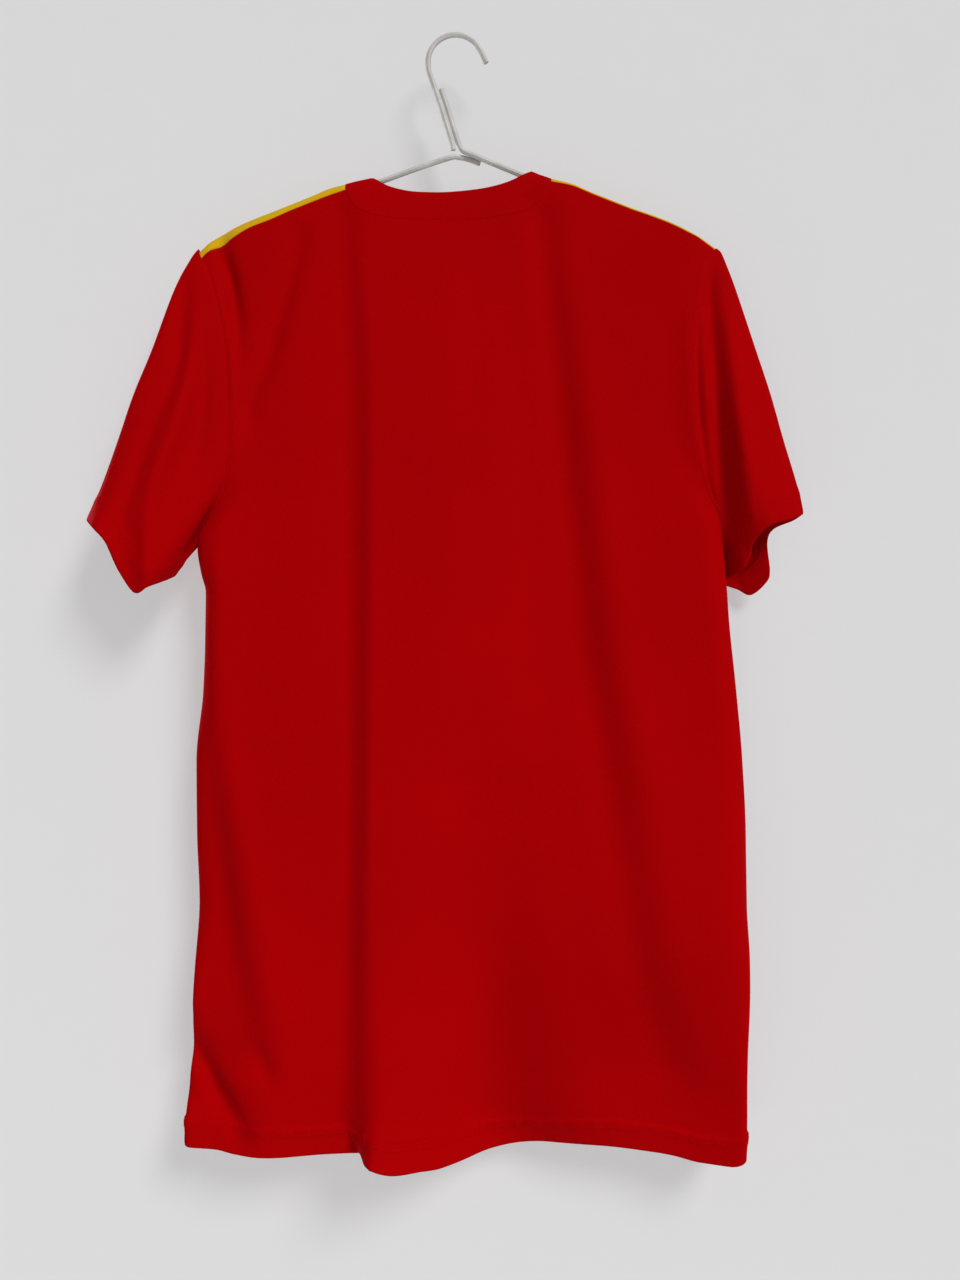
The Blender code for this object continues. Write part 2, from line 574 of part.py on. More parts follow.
def make_frame():
    """The hanger's triangle, from its tail under the right arm up into the stem."""
    count = (len(FRAME_ROUTE) - 1) * WIRE_STEPS_PER_SPAN + 1
    route = np.array(FRAME_ROUTE)
    padded = np.vstack([2 * route[0] - route[1], route, 2 * route[-1] - route[-2]])
    points = []
    for i in range(count):
        span = min(i // WIRE_STEPS_PER_SPAN, len(route) - 2)
        t = i / WIRE_STEPS_PER_SPAN - span
        a, b, c, d = padded[span:span + 4]
        points.append(between(a, b, c, d, t))
    return make_wire("hanger_frame", points)


def make_hook():
    """The hook: a round top that seats at the origin, a tip and a stem."""
    centre_z = WIRE_RADIUS - HOOK_ARC_RADIUS
    points = [(x, 0.0, z) for x, z in reversed(HOOK_TIP)]
    for i in range(HOOK_ARC_STEPS + 1):
        turn = math.radians(HOOK_ARC_FROM + (HOOK_ARC_TO - HOOK_ARC_FROM) * i / HOOK_ARC_STEPS)
        across_arc, up_arc = HOOK_ARC_RADIUS * math.sin(turn), HOOK_ARC_RADIUS * math.cos(turn)
        points.append((across_arc, 0.0, centre_z + up_arc))
    points += [(x, 0.0, z) for x, z in HOOK_STEM]
    return make_wire("hanger_hook", points)


def finish(name, colour, roughness):
    """A plain finish."""
    material = bpy.data.materials.new(name)
    material.use_nodes = True
    shader = material.node_tree.nodes["Principled BSDF"]
    shader.inputs["Base Color"].default_value = (*colour, 1)
    shader.inputs["Roughness"].default_value = roughness
    return material


def main():
    for obj in list(bpy.data.objects):
        bpy.data.objects.remove(obj, do_unlink=True)
    collection = bpy.data.collections.new("football_jersey")
    bpy.context.scene.collection.children.link(collection)
    red = finish("red_knit", RED, 0.75)
    rib = finish("red_rib", DARK_RED, 0.8)
    yellow = finish("yellow_knit", YELLOW, 0.75)
    coat = finish("white_coat", OFF_WHITE, 0.4)
    columns = {"back": columns_across(True), "front": columns_across(False)}
    back = panel_grid(columns["back"], "back", BACK_BAND, back_depth)
    front = panel_grid(columns["front"], "front", FRONT_BAND, front_depth)
    left = shoulder_grid("left", back, front, columns)
    right = shoulder_grid("right", back, front, columns)
    band = band_grid(left, right, back, front)
    left_rings = (armhole(left, back, "left", True), armhole(left, front, "left", False))
    right_rings = (armhole(right, back, "right", True), armhole(right, front, "right", False))
    sleeve_left = sleeve_grid("left", left_rings, (LEFT_CUFF_BACK, LEFT_CUFF_FRONT),
                              LEFT_OUTER, LEFT_UNDER, LEFT_SLEEVE_FOLDS)
    sleeve_right = sleeve_grid("right", right_rings, (RIGHT_CUFF_BACK, RIGHT_CUFF_FRONT),
                               RIGHT_OUTER, RIGHT_UNDER, RIGHT_SLEEVE_FOLDS)
    pieces = (
        (shell("back", back, False), red),
        (shell("front", front, False, flip=True), red),
        (shell("sleeve_left", sleeve_left, True), red),
        (shell("sleeve_right", sleeve_right, True, flip=True), red),
        (shell("shoulder_left", left, False, flip=True), yellow),
        (shell("shoulder_right", right, False, flip=True), yellow),
        (shell("collar", band, True), rib),
        (make_frame(), coat),
        (make_hook(), coat),
    )
    for obj, material in pieces:
        obj.data.materials.append(material)
        collection.objects.link(obj)


main()
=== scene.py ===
"""A football jersey on a wire hanger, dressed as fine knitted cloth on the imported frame.

Objects are in metres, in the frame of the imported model: the origin is the seat of the
hanger's hook, +X the wearer's right, +Y from the back to the front, +Z up. Tables and
grids of points are in millimetres, and each piece is moved to metres when it is made.
"""

import logging
import math
from dataclasses import dataclass
from enum import Enum

import bpy
import numpy as np
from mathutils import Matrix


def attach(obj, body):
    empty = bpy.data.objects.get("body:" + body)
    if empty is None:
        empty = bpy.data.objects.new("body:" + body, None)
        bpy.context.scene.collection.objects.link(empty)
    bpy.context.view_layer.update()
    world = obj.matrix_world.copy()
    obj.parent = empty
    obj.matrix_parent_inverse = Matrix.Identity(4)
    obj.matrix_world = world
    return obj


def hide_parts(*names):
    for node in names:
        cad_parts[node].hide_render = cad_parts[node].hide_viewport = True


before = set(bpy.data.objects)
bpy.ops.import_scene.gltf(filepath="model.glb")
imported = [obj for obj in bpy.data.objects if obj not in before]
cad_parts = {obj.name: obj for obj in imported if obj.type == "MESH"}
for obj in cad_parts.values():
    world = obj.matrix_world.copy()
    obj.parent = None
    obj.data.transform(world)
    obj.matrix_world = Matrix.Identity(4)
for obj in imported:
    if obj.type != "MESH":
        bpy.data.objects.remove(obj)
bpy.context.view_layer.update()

LOG = logging.getLogger("football_jersey")
MM = 0.001
BODY = "root"

# How far past a corner a column still counts as on its inner side
EDGE_SLACK = 0.5
# Each wave of the cloth's wander: its strength, lengths across and down, and how the seed moves it
WAVES = ((1.0, 31, 173, 1.0), (0.8, 19, -240, 2.1), (0.6, 47, 67, 3.7), (0.4, 11, 390, 5.3))
WAVE_HEIGHT = 2.8

Array = np.ndarray
Table = tuple[tuple[float, ...], ...]
Colour = tuple[float, float, float]
Tree, Socket, Node = bpy.types.NodeTree, bpy.types.NodeSocket, bpy.types.Node


class Side(Enum):
    """Which side of the picture a piece is on, with the way out from the body along X."""

    LEFT = -1
    RIGHT = 1


class Face(Enum):
    """Which face of the jersey a panel is, with the way out of it along Y."""

    BACK = -1
    FRONT = 1


# Curves


def monotone(places: Array, values: Array, where: Array) -> Array:
    """Smooth curve through values at places that never overshoots, flat beyond its ends.

    Args:
        places: Where the values are given, in any order.
        values: The values there.
        where: The places to read.

    Returns:
        The values read, in the shape of where.
    """
    order = np.argsort(places)
    places, values = np.asarray(places, float)[order], np.asarray(values, float)[order]
    step = np.diff(places)
    slope = np.diff(values) / step
    tangent = np.zeros(len(places))
    tangent[0], tangent[-1] = slope[0], slope[-1]
    for i in range(1, len(places) - 1):
        before, after = slope[i - 1], slope[i]
        if before * after > 0:
            tangent[i] = 2 * before * after / (before + after)
    where = np.clip(np.asarray(where, float), places[0], places[-1])
    span = np.clip(np.searchsorted(places, where, side="right") - 1, 0, len(step) - 1)
    t = (where - places[span]) / step[span]
    low, high = values[span], values[span + 1]
    lean_low, lean_high = tangent[span] * step[span], tangent[span + 1] * step[span]
    return (
        (2 * t**3 - 3 * t**2 + 1) * low + (t**3 - 2 * t**2 + t) * lean_low
        + (3 * t**2 - 2 * t**3) * high + (t**3 - t**2) * lean_high
    )


def column(table: Table, key: int, value: int, where: Array) -> Array:
    """Reads one column of a table against another along a smooth curve."""
    rows = np.array(table, float)
    return monotone(rows[:, key], rows[:, value], where)


def ease(t: Array) -> Array:
    """0 to 1 along a soft S."""
    t = np.clip(t, 0.0, 1.0)
    return t * t * (3 - 2 * t)


def through(points: Table | Array, count: int) -> Array:
    """Spreads points evenly along a smooth curve through the given ones.

    Args:
        points: The given points, in order.
        count: How many to make.

    Returns:
        The points, as rows.
    """
    points = np.array(points, float)
    length = lengths(points)
    where = np.linspace(0, length[-1], count)
    padded = np.vstack([2 * points[0] - points[1], points, 2 * points[-1] - points[-2]])
    span = np.clip(np.searchsorted(length, where, side="right") - 1, 0, len(points) - 2)
    t = ((where - length[span]) / (length[span + 1] - length[span]))[:, None]
    a, b, c, d = (padded[span + i] for i in range(4))
    return b + 0.5 * t * (c - a + t * (2 * a - 5 * b + 4 * c - d + t * (3 * (b - c) + d - a)))


def unevenness(x: Array, z: Array, seed: float) -> Array:
    """The slight wander that hanging knit has between its folds, from -1 to 1."""
    wave = sum(share * np.sin(x / across + z / down + turn * seed) for share, across, down, turn in WAVES)
    return wave / WAVE_HEIGHT


@dataclass(frozen=True)
class Fold:
    """A soft fold down a panel: its depths at its top, middle and foot, and its widths and line.

    A depth leads away from the viewer of the back, so one above zero makes a trough in the
    back and a ridge on the front. The widths are those at its top and foot, and the line
    holds its heights and places from the top down.
    """

    name: str
    depths: tuple[float, float, float]
    widths: tuple[float, float]
    line: Table
    fade: float = 28.0

    def push(self, x: Array, z: Array) -> Array:
        """How far the fold moves the cloth at each place."""
        rows = np.array(self.line, float)
        top, foot = rows[0, 0], rows[-1, 0]
        centre = monotone(rows[:, 0], rows[:, 1], z)
        depth = monotone(np.array([top, (top + foot) / 2, foot]), np.array(self.depths), z)
        width = np.interp(z, (foot, top), self.widths[::-1])
        reach = ease((top + self.fade - z) / self.fade) * ease((z - foot + self.fade) / self.fade)
        return depth * np.exp(-(((x - centre) / width) ** 2)) * reach


def pushed(folds: tuple[Fold, ...], x: Array, z: Array) -> Array:
    """The depth of several folds together."""
    total = np.zeros(np.shape(x))
    for fold in folds:
        total = total + fold.push(x, z)
    return total


def lengths(points: Array) -> Array:
    """The distance of each point of a line from its first one, along the line."""
    return np.concatenate([[0], np.cumsum(np.linalg.norm(np.diff(points, axis=0), axis=1))])


def read_along(places: Array, run: Array, rows: Array) -> Array:
    """Reads rows of three numbers, given at run, at other places."""
    return np.stack([np.interp(places, run, rows[:, axis]) for axis in range(3)], axis=-1)


def linked(name: str, data: bpy.types.ID) -> bpy.types.Object:
    """Makes an object of a mesh, light or camera and links it to the scene."""
    obj = bpy.data.objects.new(name, data)
    bpy.context.scene.collection.objects.link(obj)
    return obj


# Cloth


@dataclass
class Grid:
    """A sheet of cloth as rows of points, with the way that its good side faces."""

    points: Array
    flip: bool = False
    closed: bool = False

    def normals(self) -> Array:
        """The outward direction at each point, as unit vectors in the grid's shape."""
        down = np.gradient(self.points, axis=0)
        if self.closed:
            around = (np.roll(self.points, -1, axis=1) - np.roll(self.points, 1, axis=1)) / 2
        else:
            around = np.gradient(self.points, axis=1)
        normal = np.cross(down, around)
        normal /= np.maximum(np.linalg.norm(normal, axis=-1, keepdims=True), 1e-9)
        return -normal if self.flip else normal

    def lifted(self, height: Array) -> "Grid":
        """The same sheet moved out of itself by a height at each point."""
        return Grid(self.points + self.normals() * height[..., None], self.flip, self.closed)

    def flanged(self, depth: float, edges: str) -> "Grid":
        """Turns the sheet's edges in, as the seam allowances inside a seam are.

        Args:
            depth: How deep the allowance goes.
            edges: Any of t, b, l and r, for the top, bottom, left and right edge.

        Returns:
            The sheet with the turned edges.
        """
        points, inward = self.points, -self.normals() * depth
        for edge, axis, at in (("t", 0, 0), ("b", 0, -1), ("l", 1, 0), ("r", 1, -1)):
            if edge in edges:
                way = np.take(inward, [at], axis)
                turned = np.take(points, [at], axis) + way
                order = 1 if at == 0 else -1
                points = np.concatenate([turned, points][::order], axis)
                inward = np.concatenate([way, inward][::order], axis)
        return Grid(points, self.flip, self.closed)


@dataclass(frozen=True)
class Hem:
    """A turned and cover-stitched hem, by its distances from the folded edge."""

    height: float = 20.0
    layer: float = 0.9
    rows: tuple[float, ...] = (
        0.0, 0.7, 1.8, 3.6, 6.0, 9.0, 12.0, 14.2, 15.5, 16.8, 17.8, 18.6, 19.4, 20.2, 21.0, 21.9, 23.0, 24.6,
        27.0,
    )
    stitch_rows: tuple[float, ...] = (18.6, 15.5)
    ridge: float = 1.4
    groove: float = 0.1
    groove_width: float = 1.1
    ridge_gap: float = 0.4
    ridge_above: float = 1.8
    ridge_below: float = 6.5
    groove_shares: tuple[float, float] = (1.0, 0.5)
    pucker: float = 0.35
    pucker_waves: tuple[float, float] = (1.9, 7.3)
    pucker_shift: float = 1.2
    swell: float = 0.35
    swell_fade: float = 3.0
    most_of_sheet: float = 0.6
    # How far past its height the turned layer reaches, and a distance for what is no part of it
    past: float = 0.3
    far: float = 1e3
    # How many last rows its run is read on, and the bare end and the fade of its relief at open ends
    edge_rows: int = 6
    bare_end: float = 1.0
    end_fade: float = 9.0

    def settle(self, grid: Grid, keep: int) -> tuple[Grid, Array]:
        """Moves the rows of a sheet so that those near its edge suit the hem.

        Args:
            grid: The sheet, whose last row is the edge.
            keep: How many of its first rows stay.

        Returns:
            The sheet, and the distance of each of its points from the edge.
        """
        tail = grid.points[keep:]
        step = np.linalg.norm(np.diff(tail, axis=0), axis=-1)
        run = np.concatenate([np.zeros((1, tail.shape[1])), np.cumsum(step, axis=0)])
        reach = np.array(self.rows[::-1])
        scale = np.minimum(1.0, self.most_of_sheet * run[-1] / reach[0])
        free = max(len(tail) - len(reach), 2)
        even = np.linspace(0, 1, free, endpoint=False)[:, None] * (run[-1] - reach[0] * scale)
        where = np.concatenate([even, run[-1] - reach[:, None] * scale])
        made = np.empty((*where.shape, 3))
        for j in range(tail.shape[1]):
            for axis in range(3):
                made[:, j, axis] = np.interp(where[:, j], run[:, j], tail[:, j, axis])
        points = np.concatenate([grid.points[:keep], made])
        distance = np.full(points.shape[:2], self.far)
        distance[keep:] = (run[-1] - where) / scale
        return Grid(points, grid.flip, grid.closed), distance

    def relief(self, distance: Array, run: Array) -> Array:
        """The hem's ridge, stitched grooves and puckers, as a height out of the cloth.

        Args:
            distance: The distance of each point from the edge.
            run: The place of each point along the hem.

        Returns:
            The heights.
        """
        short, long = (run / length for length in self.pucker_waves)
        pucker = 1 + self.pucker * np.sin(short) * np.sin(long + self.pucker_shift)
        above = distance - self.height - self.ridge_gap
        ridge = self.ridge * np.exp(-((above / np.where(above > 0, self.ridge_above, self.ridge_below)) ** 2))
        grooves = sum(
            share * self.groove * np.exp(-(((distance - place) / self.groove_width) ** 2))
            for place, share in zip(self.stitch_rows, self.groove_shares)
        )
        inside = ease((self.height - distance) / self.swell_fade)
        swell = self.swell * inside * ease(distance / self.swell_fade)
        return ridge * pucker - grooves * pucker + swell

    def turned(self, grid: Grid) -> Grid:
        """Adds the layer that is turned up inside the hem."""
        inward = -grid.normals() * self.layer
        points = grid.points.copy()
        points[-1] += inward[-1] / 2
        count = sum(1 for row in self.rows if 0 < row <= self.height + self.past)
        inner = (grid.points + inward)[-1 - count:-1][::-1]
        return Grid(np.concatenate([points, inner]), grid.flip, grid.closed)


def run_along(points: Array, closed: bool) -> Array:
    """The mean place of each column along a sheet's rows, with one more where it is closed."""
    rows = np.concatenate([points, points[:, :1]], axis=1) if closed else points
    step = np.linalg.norm(np.diff(rows, axis=1), axis=-1).mean(axis=0)
    return np.concatenate([[0], np.cumsum(step)])


def quads(rows: int, columns: int, closed: bool) -> Array:
    """The faces between a grid's points, each as four numbers, in rows."""
    near = np.arange(columns if closed else columns - 1)
    far = (near + 1) % columns
    top = np.arange(rows - 1)[:, None] * columns
    return np.stack([top + near, top + columns + near, top + columns + far, top + far], axis=-1)


@dataclass
class ClothPiece:
    """One cut and sewn piece: a mesh on a grid, with thickness and the flat coordinates of its cut."""

    name: str
    grid: Grid
    thickness: float = 0.75

    def make(self) -> bpy.types.Object:
        """Builds the mesh, its flat coordinates in metres and its thickness.

        Returns:
            The object, linked to the scene.
        """
        points = self.grid.points
        rows, columns = points.shape[:2]
        corners = quads(rows, columns, self.grid.closed)
        j = np.arange(corners.shape[1])
        k = (j + 1) % columns
        across = run_along(points, self.grid.closed) * MM
        step = np.linalg.norm(np.diff(points, axis=0), axis=-1)
        down = np.concatenate([np.zeros((1, columns)), np.cumsum(step, axis=0)]) * MM
        near, far = across[j], across[j + 1]
        u = np.broadcast_to(np.stack([near, near, far, far], axis=-1), corners.shape)
        v = np.stack([down[:-1][:, j], down[1:][:, j], down[1:][:, k], down[:-1][:, k]], axis=-1)
        flat = np.stack([u, -v], axis=-1)
        if self.grid.flip:
            corners, flat = corners[..., ::-1], flat[:, :, ::-1]
        mesh = bpy.data.meshes.new(self.name)
        mesh.from_pydata((points.reshape(-1, 3) * MM).tolist(), [], corners.reshape(-1, 4).tolist())
        mesh.uv_layers.new(name="Cut").data.foreach_set("uv", np.ascontiguousarray(flat, np.float32).ravel())
        mesh.shade_smooth()
        obj = linked(self.name, mesh)
        wall = obj.modifiers.new("thickness", "SOLIDIFY")
        wall.thickness = self.thickness * MM
        wall.offset = 0.0
        wall.use_rim = True
        return obj


@dataclass
class StitchLine:
    """A row of stitches that lie on the cloth, each a short arched length of thread."""

    name: str
    spacing: float = 3.1
    length: float = 2.5
    radius: float = 0.24
    arch: float = 0.42
    rings: int = 6
    sides: int = 6
    # How far ahead its direction is read, its ends' bluntness, their depth and its height
    look: float = 0.6
    blunt: float = 1.06
    sink: float = 0.25
    lift: float = 0.32

    def stitches(self, line: Array, normal: Array, start: int) -> tuple[Array, Array]:
        """The points and faces of the stitches along one line.

        Args:
            line: The line on the cloth, as rows of points.
            normal: The outward direction at each of them.
            start: The number of the first vertex.

        Returns:
            The points and the faces.
        """
        run = lengths(line)
        count = max(int(run[-1] / self.spacing), 1)
        where = (np.arange(count) + 0.5) * run[-1] / count
        centre = read_along(where, run, line)
        along = read_along(where + self.look, run, line) - read_along(where - self.look, run, line)
        along /= np.linalg.norm(along, axis=1, keepdims=True)
        up = read_along(where, run, normal)
        side = np.cross(up, along)
        side /= np.linalg.norm(side, axis=1, keepdims=True)
        t = np.linspace(-1, 1, self.rings)[None, :, None, None]
        turn = (np.arange(self.sides) * 2 * math.pi / self.sides)[None, None, :, None]
        thin = np.sqrt(np.clip(self.blunt - t**2, 0, 1)) * self.radius
        rise = self.arch * (1 - t**2) - self.sink * t**2 + self.lift
        points = (
            centre[:, None, None] + along[:, None, None] * t * self.length / 2
            + up[:, None, None] * (rise + thin * np.cos(turn)) + side[:, None, None] * thin * np.sin(turn)
        )
        first = np.arange(count) * self.rings * self.sides + start
        faces = quads(self.rings, self.sides, True).reshape(-1, 4) + first[:, None, None]
        return points.reshape(-1, 3), faces.reshape(-1, 4)

    def make(self, lines: list[tuple[Array, Array]]) -> bpy.types.Object:
        """Builds the thread of several lines as one piece.

        Args:
            lines: Each line's points and outward directions.

        Returns:
            The object, linked to the scene.
        """
        points, faces, start = [], [], 0
        for line, normal in lines:
            more, quads = self.stitches(line, normal, start)
            points.append(more)
            faces.append(quads)
            start += len(more)
        mesh = bpy.data.meshes.new(self.name)
        mesh.from_pydata((np.concatenate(points) * MM).tolist(), [], np.concatenate(faces).tolist())
        mesh.shade_smooth()
        return linked(self.name, mesh)


# The jersey's pieces


@dataclass(frozen=True)
class Shoulder:
    """One yellow shoulder panel, arched over the wire: rows of across, back, ridge, front."""

    side: Side
    rows: Table
    back_rows: int = 9
    front_rows: int = 12
    seam: float = 0.15
    neck_gap: float = 0.3

    def height(self, x: Array, face: Face) -> Array:
        """The height of its seam with the back or the front."""
        return column(self.rows, 0, 1 if face is Face.BACK else 3, x)

    def grid(self, back: Array, front: Array, tops: dict[Face, Array]) -> Grid:
        """The panel between the upper edges of the back and the front.

        Args:
            back: The back's points.
            front: The front's points.
            tops: The places across of each panel's columns.

        Returns:
            The panel, from the back's seam to the front's.
        """
        low, high = self.rows[0][0], self.rows[-1][0]
        halves = []
        for points, face, count in ((back, Face.BACK, self.back_rows), (front, Face.FRONT, self.front_rows)):
            x = tops[face]
            mine = (x > low - EDGE_SLACK) & (x < high + EDGE_SLACK)
            places = x[mine]
            edge = points[0][mine] + np.array([0, 0, self.seam])
            ridge = np.stack([places, np.zeros(len(places)), column(self.rows, 0, 2, places)], axis=-1)
            turns = np.linspace(0, math.pi / 2, count + 1)
            weights = [np.array([1 - math.cos(t), math.sin(t), 1 - math.cos(t)]) for t in turns]
            halves.append([ridge + (edge - ridge) * weight for weight in weights])
        shape = np.array(halves[0][::-1] + halves[1][1:])
        neck = -1 if self.side is Side.LEFT else 0
        shape[:, neck, 0] += self.side.value * self.neck_gap
        return Grid(shape, flip=True)

    def end(self, points: Array, at: int, face: Face) -> Array:
        """One end of the panel, from its ridge down to its seam."""
        line = points[:, at]
        return line[self.back_rows::-1] if face is Face.BACK else line[self.back_rows:]


@dataclass(frozen=True)
class Trunk:
    """The back and front panels, from the shoulders and the neck down to the hem."""

    neck_left: float = -86.5
    neck_right: float = 76.0
    tip_left: float = -205.5
    tip_right: float = 207.5
    underarm: float = -408.0
    line_left: float = -209.0
    line_right: float = 226.0
    edge_reach: float = 0.3
    side_round: float = 0.045
    seam: float = 0.7
    # The room at its upper edge and its sides, and where its edge turns from armhole to seam
    top_gap: float = 0.1
    side_gap: float = 0.15
    seam_above: float = 30.0
    seam_over: float = 40.0
    upper_rows: int = 92
    lower_rows: int = 142
    # Fractions down of the close rows at the top, and of the first even one
    close_rows: tuple[float, ...] = (0, 0.0006, 0.003, 0.008)
    even_from: float = 0.015
    # Columns in a rounded side, in each shoulder, beside the crease of the back's neck, and in the front's
    side_columns: int = 9
    shoulder_columns: tuple[int, int] = (30, 34)
    back_neck_columns: tuple[int, int] = (26, 48)
    front_neck_columns: int = 42
    crease_at: float = 0.345
    wander_back: float = 0.45
    wander_front: float = 0.7
    seed_back: float = 0.4
    seed_front: float = 2.6
    # Where the side edges turn from round to square, over what height, and how square
    square_from: float = -690.0
    square_over: float = 90.0
    round_power: float = 2.0
    square_more: float = 5.0
    # level, left, right, back, front
    edges: Table = (
        (-164, -205.5, 207.5, 0, 0), (-170, -205.5, 207, -3.5, 3.5), (-177, -204, 201.5, -5.5, 5.5),
        (-192, -194, 191, -9, 9), (-222, -184.5, 184, -11.5, 13), (-251, -178, 183, -13.5, 16),
        (-293, -175.3, 184.5, -15, 17), (-330, -175.3, 189.5, -16, 17), (-350, -177.5, 194, -15, 16),
        (-366, -182.5, 199, -12.5, 13), (-387, -197, 210.5, -6.5, 7), (-400, -204, 213, -2, 2.5),
        (-408, -205.5, 213.6, 0, 0), (-430, -202.2, 215.4, 0, 0), (-444, -198.6, 216.6, 0, 0),
        (-466, -198.8, 218, 0, 0), (-522, -200.8, 223.6, 0, 0), (-578, -206.4, 228.4, 0, 0),
        (-634, -206, 230.6, 0, 0), (-690, -204, 230.6, 0, 0), (-746, -206, 227.8, 0, 0),
        (-802, -208.6, 226.4, 0, 0), (-858, -211.4, 227.2, 0, 0), (-886, -212.4, 226.6, 0, 0),
    )
    # level, back, front
    hangs: Table = (
        (-110, -8, 10), (-170, -9.4, 12), (-250, -10.8, 17), (-330, -13.4, 18.2), (-400, -17, 19),
        (-600, -23, 20), (-760, -23.5, 18), (-886, -23, 14),
    )
    # across, height
    hem_line: Table = (
        (0, -877), (0.06, -878.4), (0.14, -881.2), (0.27, -881.4), (0.314, -881.6), (0.323, -880.2),
        (0.332, -878), (0.339, -878.4), (0.345, -879.4), (0.36, -881.4), (0.375, -882.8), (0.42, -885),
        (0.46, -889), (0.5, -890.2), (0.54, -889.2), (0.6, -886), (0.65, -882.9), (0.75, -879.5),
        (0.84, -882.9), (0.87, -884.7), (0.92, -888.8), (0.97, -889.4), (1, -885.5),
    )
    # level, start, rise, forward, finish, fall
    pleat: Table = (
        (-150, -96, 26, 2.5, 0, 90), (-294, -88, 25, 6.5, 0, 90), (-420, -86, 24, 8.5, -10, 95),
        (-529, -86, 23, 8.5, -30, 105), (-645, -86, 24, 9.5, -48, 110), (-761, -88.5, 30, 13.5, -58, 96),
        (-846, -91, 36, 20, -66, 78), (-886, -72.5, 8, 38, -60, 92),
    )
    back_folds: tuple[Fold, ...] = (
        Fold("long_crease", (1.4, 1.6, 0.6), (12, 11),
             ((-150, -88), (-294, -77), (-420, -76), (-529, -76), (-645, -78), (-761, -81), (-890, -78))),
        Fold("slanting_trough", (4, 6, 3), (13, 20),
             ((-150, 68), (-253, 80), (-333, 88), (-419, 97), (-490, 104), (-569, 117), (-647, 129),
              (-726, 140), (-812, 166))),
        Fold("low_hollow", (2, 8.5, 17), (46, 50), ((-600, 40), (-760, 26), (-850, 31), (-890, 50))),
        Fold("right_swell", (-2, -14, -15), (34, 54), ((-600, 204), (-760, 224), (-850, 250), (-890, 256))),
        Fold("left_swell", (-1, -5, -9), (30, 36), ((-600, -140), (-760, -140), (-890, -146))),
        Fold("left_side_trough", (5, 6, 3), (13, 15),
             ((-500, -200), (-546, -196), (-650, -184), (-730, -173), (-800, -156))),
        Fold("corner_crease", (8, 13.5, 6), (15, 12),
             ((-784, -217), (-804, -207), (-832, -188), (-864, -166)), 18),
        Fold("shoulder_crease", (6, 10, 4), (7, 7), ((-170, -186), (-200, -179), (-226, -176), (-262, -174))),
        Fold("blade_crease", (3, 5, 4), (9, 10), ((-170, -125), (-233, -142), (-272, -153), (-296, -166))),
        Fold("middle_trough", (1, 1.6, 0.8), (14, 18), ((-200, 12), (-330, 16), (-470, 22))),
        Fold("left_panel_swell", (-1, -2, -1), (26, 28), ((-240, -120), (-420, -122), (-600, -128))),
    )
    front_folds: tuple[Fold, ...] = (
        Fold("left_trough", (-3, -7, -13), (11, 20), ((-230, -100), (-480, -112), (-890, -122))),
        Fold("left_ridge", (1, 4, 8), (14, 24), ((-300, -142), (-600, -156), (-890, -172))),
        Fold("middle_ridge", (2, 5, 10), (20, 34), ((-260, -34), (-560, -46), (-890, -54))),
        Fold("middle_trough", (-2, -5, -5), (12, 24), ((-260, 38), (-560, 24), (-890, 30))),
        Fold("right_ridge", (1, 4, 9), (16, 28), ((-300, 88), (-600, 98), (-890, 104))),
        Fold("right_trough", (-3, -6, -9), (9, 18), ((-220, 140), (-400, 150), (-640, 166), (-890, 174))),
        Fold("left_shoulder_pull", (-2, -4.5, -1.5), (7, 9), ((-210, -168), (-262, -156), (-330, -150))),
        Fold("right_shoulder_pull", (-2, -5, -2), (7, 9), ((-205, 172), (-262, 166), (-330, 160))),
        Fold("left_underarm_pull", (-1, -4, -1), (8, 12), ((-400, -188), (-470, -166), (-560, -150))),
        Fold("right_underarm_pull", (-1, -4, -1), (8, 12), ((-400, 196), (-460, 180), (-540, 168))),
    )
    # Finer creases that the solids leave out
    back_creases: tuple[Fold, ...] = (
        Fold("slanting_near", (2.5, 6, 4), (28, 36),
             ((-180, 36), (-253, 50), (-333, 60), (-419, 70), (-490, 78), (-569, 90), (-647, 100),
              (-726, 108), (-812, 130)), 50),
        Fold("slanting_lip", (-1, -3, -1.5), (16, 24),
             ((-180, 84), (-253, 96), (-333, 107), (-419, 117), (-490, 127), (-569, 141), (-647, 155),
              (-726, 167), (-812, 190))),
        Fold("low_depth", (1, 7, 9), (46, 52), ((-640, 40), (-740, 24), (-850, 32), (-890, 44)), 50),
        Fold("hip_swell", (-1, -8, -15), (66, 84), ((-480, 110), (-620, 138), (-720, 160)), 130),
        Fold("side_depth", (1, 6, 7), (14, 30),
             ((-540, -209), (-600, -206), (-650, -203), (-730, -198), (-800, -188))),
        Fold("side_lip", (-2, -4, -1.5), (14, 18),
             ((-500, -192), (-540, -186), (-600, -176), (-730, -152), (-800, -138))),
        Fold("corner_depth", (6, 12, 5), (24, 15),
             ((-780, -234), (-820, -221), (-850, -194), (-864, -182)), 24),
        Fold("left_rise", (-1, -5, -2), (50, 50), ((-360, -198), (-450, -198), (-540, -204)), 40),
        Fold("crease_lip", (-0.4, -0.8, -1), (6, 7),
             ((-180, -76), (-294, -66), (-420, -65), (-529, -65), (-645, -68), (-761, -70), (-886, -66))),
        Fold("underarm_pull", (0.6, 1.8, 0.4), (3.5, 3), ((-402, -192), (-420, -194), (-448, -192)), 10),
        Fold("side_nick", (0.4, 3.4, 0.4), (7, 8), ((-796, -152), (-814, -147), (-832, -141)), 10),
        Fold("foot_tuck", (0, 2.5, 6.5), (80, 84), ((-750, 116), (-830, 122), (-910, 128))),
        Fold("corner_ridge", (-0.5, -2.4, -1), (8, 7), ((-800, -214), (-840, -198), (-884, -172)), 14),
    )

